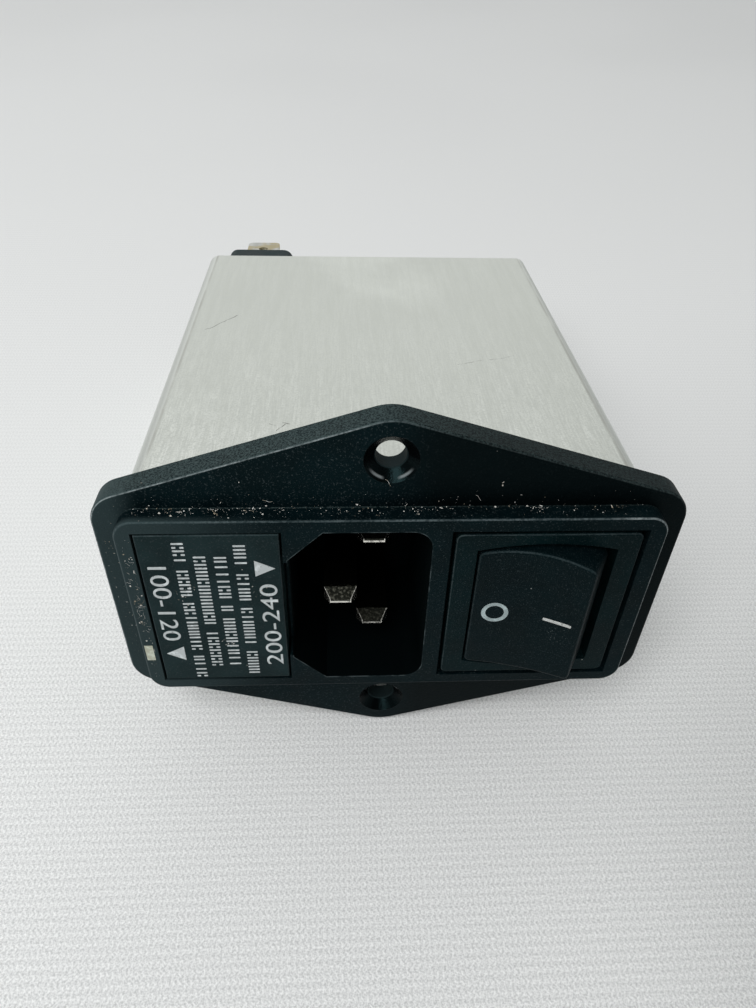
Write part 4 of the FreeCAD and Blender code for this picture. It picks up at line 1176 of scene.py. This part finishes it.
# %% [markdown]
# ## Lint
# Larger crumbs of dust catch the light one by one, so they are modelled. Three crumbs are made from small
# icospheres with shaken vertices, two of them flattened to a flake and a sliver. Two fibres, a thread and a
# hair, are curves with a thin round section.

# %% Lint finish, crumbs and fibres
shader, place = new_finish("lint", (0.66, 0.65, 0.61), 0.9)
lay_over(shader, fade(noise(place, 700.0, 3.0), 0.45, 0.6), (0.34, 0.29, 0.21), 0.9)
lay_over(shader, fade(noise(place, 1300.0), 0.52, 0.62), (0.80, 0.80, 0.77), 0.9)
press_relief(shader, noise(place, 9000.0), 0.02 * MM)


def crumb(name, seed, shape):
    """Rough grain about one millimetre across, to be scaled down."""
    bpy.ops.object.select_all(action="DESELECT")
    bpy.ops.mesh.primitive_ico_sphere_add(subdivisions=1, radius=0.5 * MM)
    piece = bpy.context.object
    piece.name = name
    edit_all()
    bpy.ops.transform.vertex_random(offset=0.2 * MM, uniform=0.6, seed=seed)
    bpy.ops.transform.resize(value=shape, center_override=(0, 0, 0))
    bpy.ops.object.mode_set(mode="OBJECT")
    return piece


def fibre(name, thickness):
    """Bent fibre about three millimetres long: a curve with a round section, made a mesh."""
    bpy.ops.object.select_all(action="DESELECT")
    bpy.ops.curve.primitive_bezier_curve_add(radius=1.2 * MM)
    piece = bpy.context.object
    piece.data.bevel_depth = thickness
    piece.data.bevel_resolution = 0
    piece.data.resolution_u = 4
    piece.data.use_fill_caps = True
    bpy.ops.object.convert(target="MESH")
    piece = bpy.context.object
    piece.name = name
    return piece


grain = crumb("grain", 2, (1.0, 0.9, 0.8))
flake = crumb("flake", 5, (1.3, 1.0, 0.3))
sliver = crumb("sliver", 9, (2.4, 0.5, 0.4))
thread = fibre("thread", 0.09 * MM)
hair = fibre("hair", 0.045 * MM)
crumbs = [grain, grain, flake, flake, flake, sliver, sliver, sliver, thread]
print("faces:", [len(piece.data.polygons) for piece in (grain, flake, sliver, thread, hair)])

# %% [markdown]
# ### Lint on the ledge
# Dust settles where it always does: on the upward ledge that the bezel makes in front of the flange. The
# crumbs are strewn with a fixed seed, more than half of them in clusters, more to the left than to the
# right, and most of them at the back of the ledge, where nothing wipes them off. Many are tiny and a few
# are large.

# %% Lint strewn along the ledge
LEDGE_Z = 13.9 * MM
LEDGE_FRONT, LEDGE_BACK = -5.1 * MM, -3.3 * MM
LEDGE_LEFT, LEDGE_RIGHT = -27.5 * MM, 28.8 * MM
CRUMBS, CLUSTERS = 250, 16
CLUSTER_SHARE, CLUSTER_SPREAD = 0.6, 0.9 * MM
TO_LEFT, TO_BACK = 1.4, 0.45
LIFT = 0.15 * MM
wind = random.Random(4)
lying = []


def mostly_small(smallest, rate, largest):
    """A random size, for which the rate says how seldom large ones come."""
    return min(smallest + wind.expovariate(rate), largest)


def strew(kinds, size, spot, lying_on="Z"):
    """Sets down a copy of one crumb, turned at random about the direction that it lies on."""
    turn = Matrix.Rotation(wind.uniform(0, math.tau), 4, "Z")
    lean = Matrix.Rotation(wind.gauss(0, 0.5), 4, "X")
    if lying_on == "Y":
        lean = Matrix.Rotation(math.pi / 2, 4, "X") @ turn
        turn = Matrix.Identity(4)
    shift = Matrix.Translation(spot) @ turn @ lean @ Matrix.Scale(size, 4)
    lying.append(copy_to(wind.choice(kinds), "crumb", shift))


clusters = [wind.uniform(LEDGE_LEFT, LEDGE_RIGHT) for step in range(CLUSTERS)]
for step in range(CRUMBS):
    if wind.random() < CLUSTER_SHARE:
        x = wind.gauss(wind.choice(clusters), CLUSTER_SPREAD)
    else:
        x = LEDGE_LEFT + wind.random() ** TO_LEFT * (LEDGE_RIGHT - LEDGE_LEFT)
    x = min(max(x, LEDGE_LEFT), LEDGE_RIGHT)
    y = LEDGE_FRONT + wind.random() ** TO_BACK * (LEDGE_BACK - LEDGE_FRONT)
    size = mostly_small(0.035, 19.0, 0.42)
    strew(crumbs, size, Vector((x, y, LEDGE_Z + LIFT * size)))
print("crumbs on the ledge:", len(lying))

# %% [markdown]
# ### Crumbs on upright faces
# Crumbs also cling to the flange above the ledge, to the bezel beside the drawer, where short hairs lie
# among them, and to the flange's left end. They lie against the face, so they are turned a quarter about X.
# Three longer hairs are listed.

# %% Crumbs on flange and bezel
ABOVE_LEDGE, BESIDE_DRAWER, FUZZ_ON_BEZEL, FLANGE_END = 46, 40, 56, 40
HAIRS = [(-0.3, 17.1, 0.45), (9.6, 15.0, 0.4), (-13.2, 14.8, 0.45)]

for step in range(ABOVE_LEDGE):
    x = wind.uniform(LEDGE_LEFT, LEDGE_RIGHT)
    z = LEDGE_Z + min(wind.expovariate(0.9), 3.4) * MM
    strew(crumbs, mostly_small(0.03, 22.0, 0.3), Vector((x, FLANGE_FACE, z)), "Y")
for step in range(BESIDE_DRAWER):
    x = wind.uniform(-29.0, -28.0) * MM
    z = wind.uniform(-11.5, 11.5) * MM
    strew(crumbs, mostly_small(0.03, 24.0, 0.2), Vector((x, BEZEL_FACE, z)), "Y")
for step in range(FUZZ_ON_BEZEL):
    x = wind.uniform(-29.1, -28.0) * MM
    z = min(max(wind.gauss(1.5, 4.5), -11.0), 11.0) * MM
    strew([hair, hair, flake], wind.uniform(0.08, 0.24), Vector((x, BEZEL_FACE, z)), "Y")
for step in range(FLANGE_END):
    x = wind.uniform(-31.8, -30.0) * MM
    z = wind.uniform(-10.0, 12.5) * MM
    strew(crumbs, wind.uniform(0.03, 0.11), Vector((x, FLANGE_FACE, z)), "Y")
for hair_x, hair_z, size in HAIRS:
    strew([hair], size, Vector((hair_x * MM, FLANGE_FACE, hair_z * MM)), "Y")
join_as("lint_housing", lying, "lint", "module")
print("lint on the housing:", len(lying))

# %% [markdown]
# ### Tufts on the drawer
# A few crumbs stick to the print on the drawer's face, in four small tufts. They are a piece of their own,
# because they go with the drawer when it is pulled out.

# %% Crumbs on the drawer
DRAWER_TUFTS = [(-23.44, 2.99), (-19.10, -5.43), (-22.6, 4.1), (-14.9, 3.4)]
TUFT_CRUMBS = 9

lying = []
for middle_x, middle_z in DRAWER_TUFTS:
    for step in range(TUFT_CRUMBS):
        x = wind.gauss(middle_x, 0.45) * MM
        z = wind.gauss(middle_z, 0.6) * MM
        strew(crumbs[1:], mostly_small(0.05, 14.0, 0.34), Vector((x, drawer_face, z)), "Y")
join_as("lint_drawer", lying, "lint", "drawer")
for piece in (grain, flake, sliver, thread, hair):
    bpy.data.objects.remove(piece)
print("tufts on the drawer:", len(DRAWER_TUFTS))
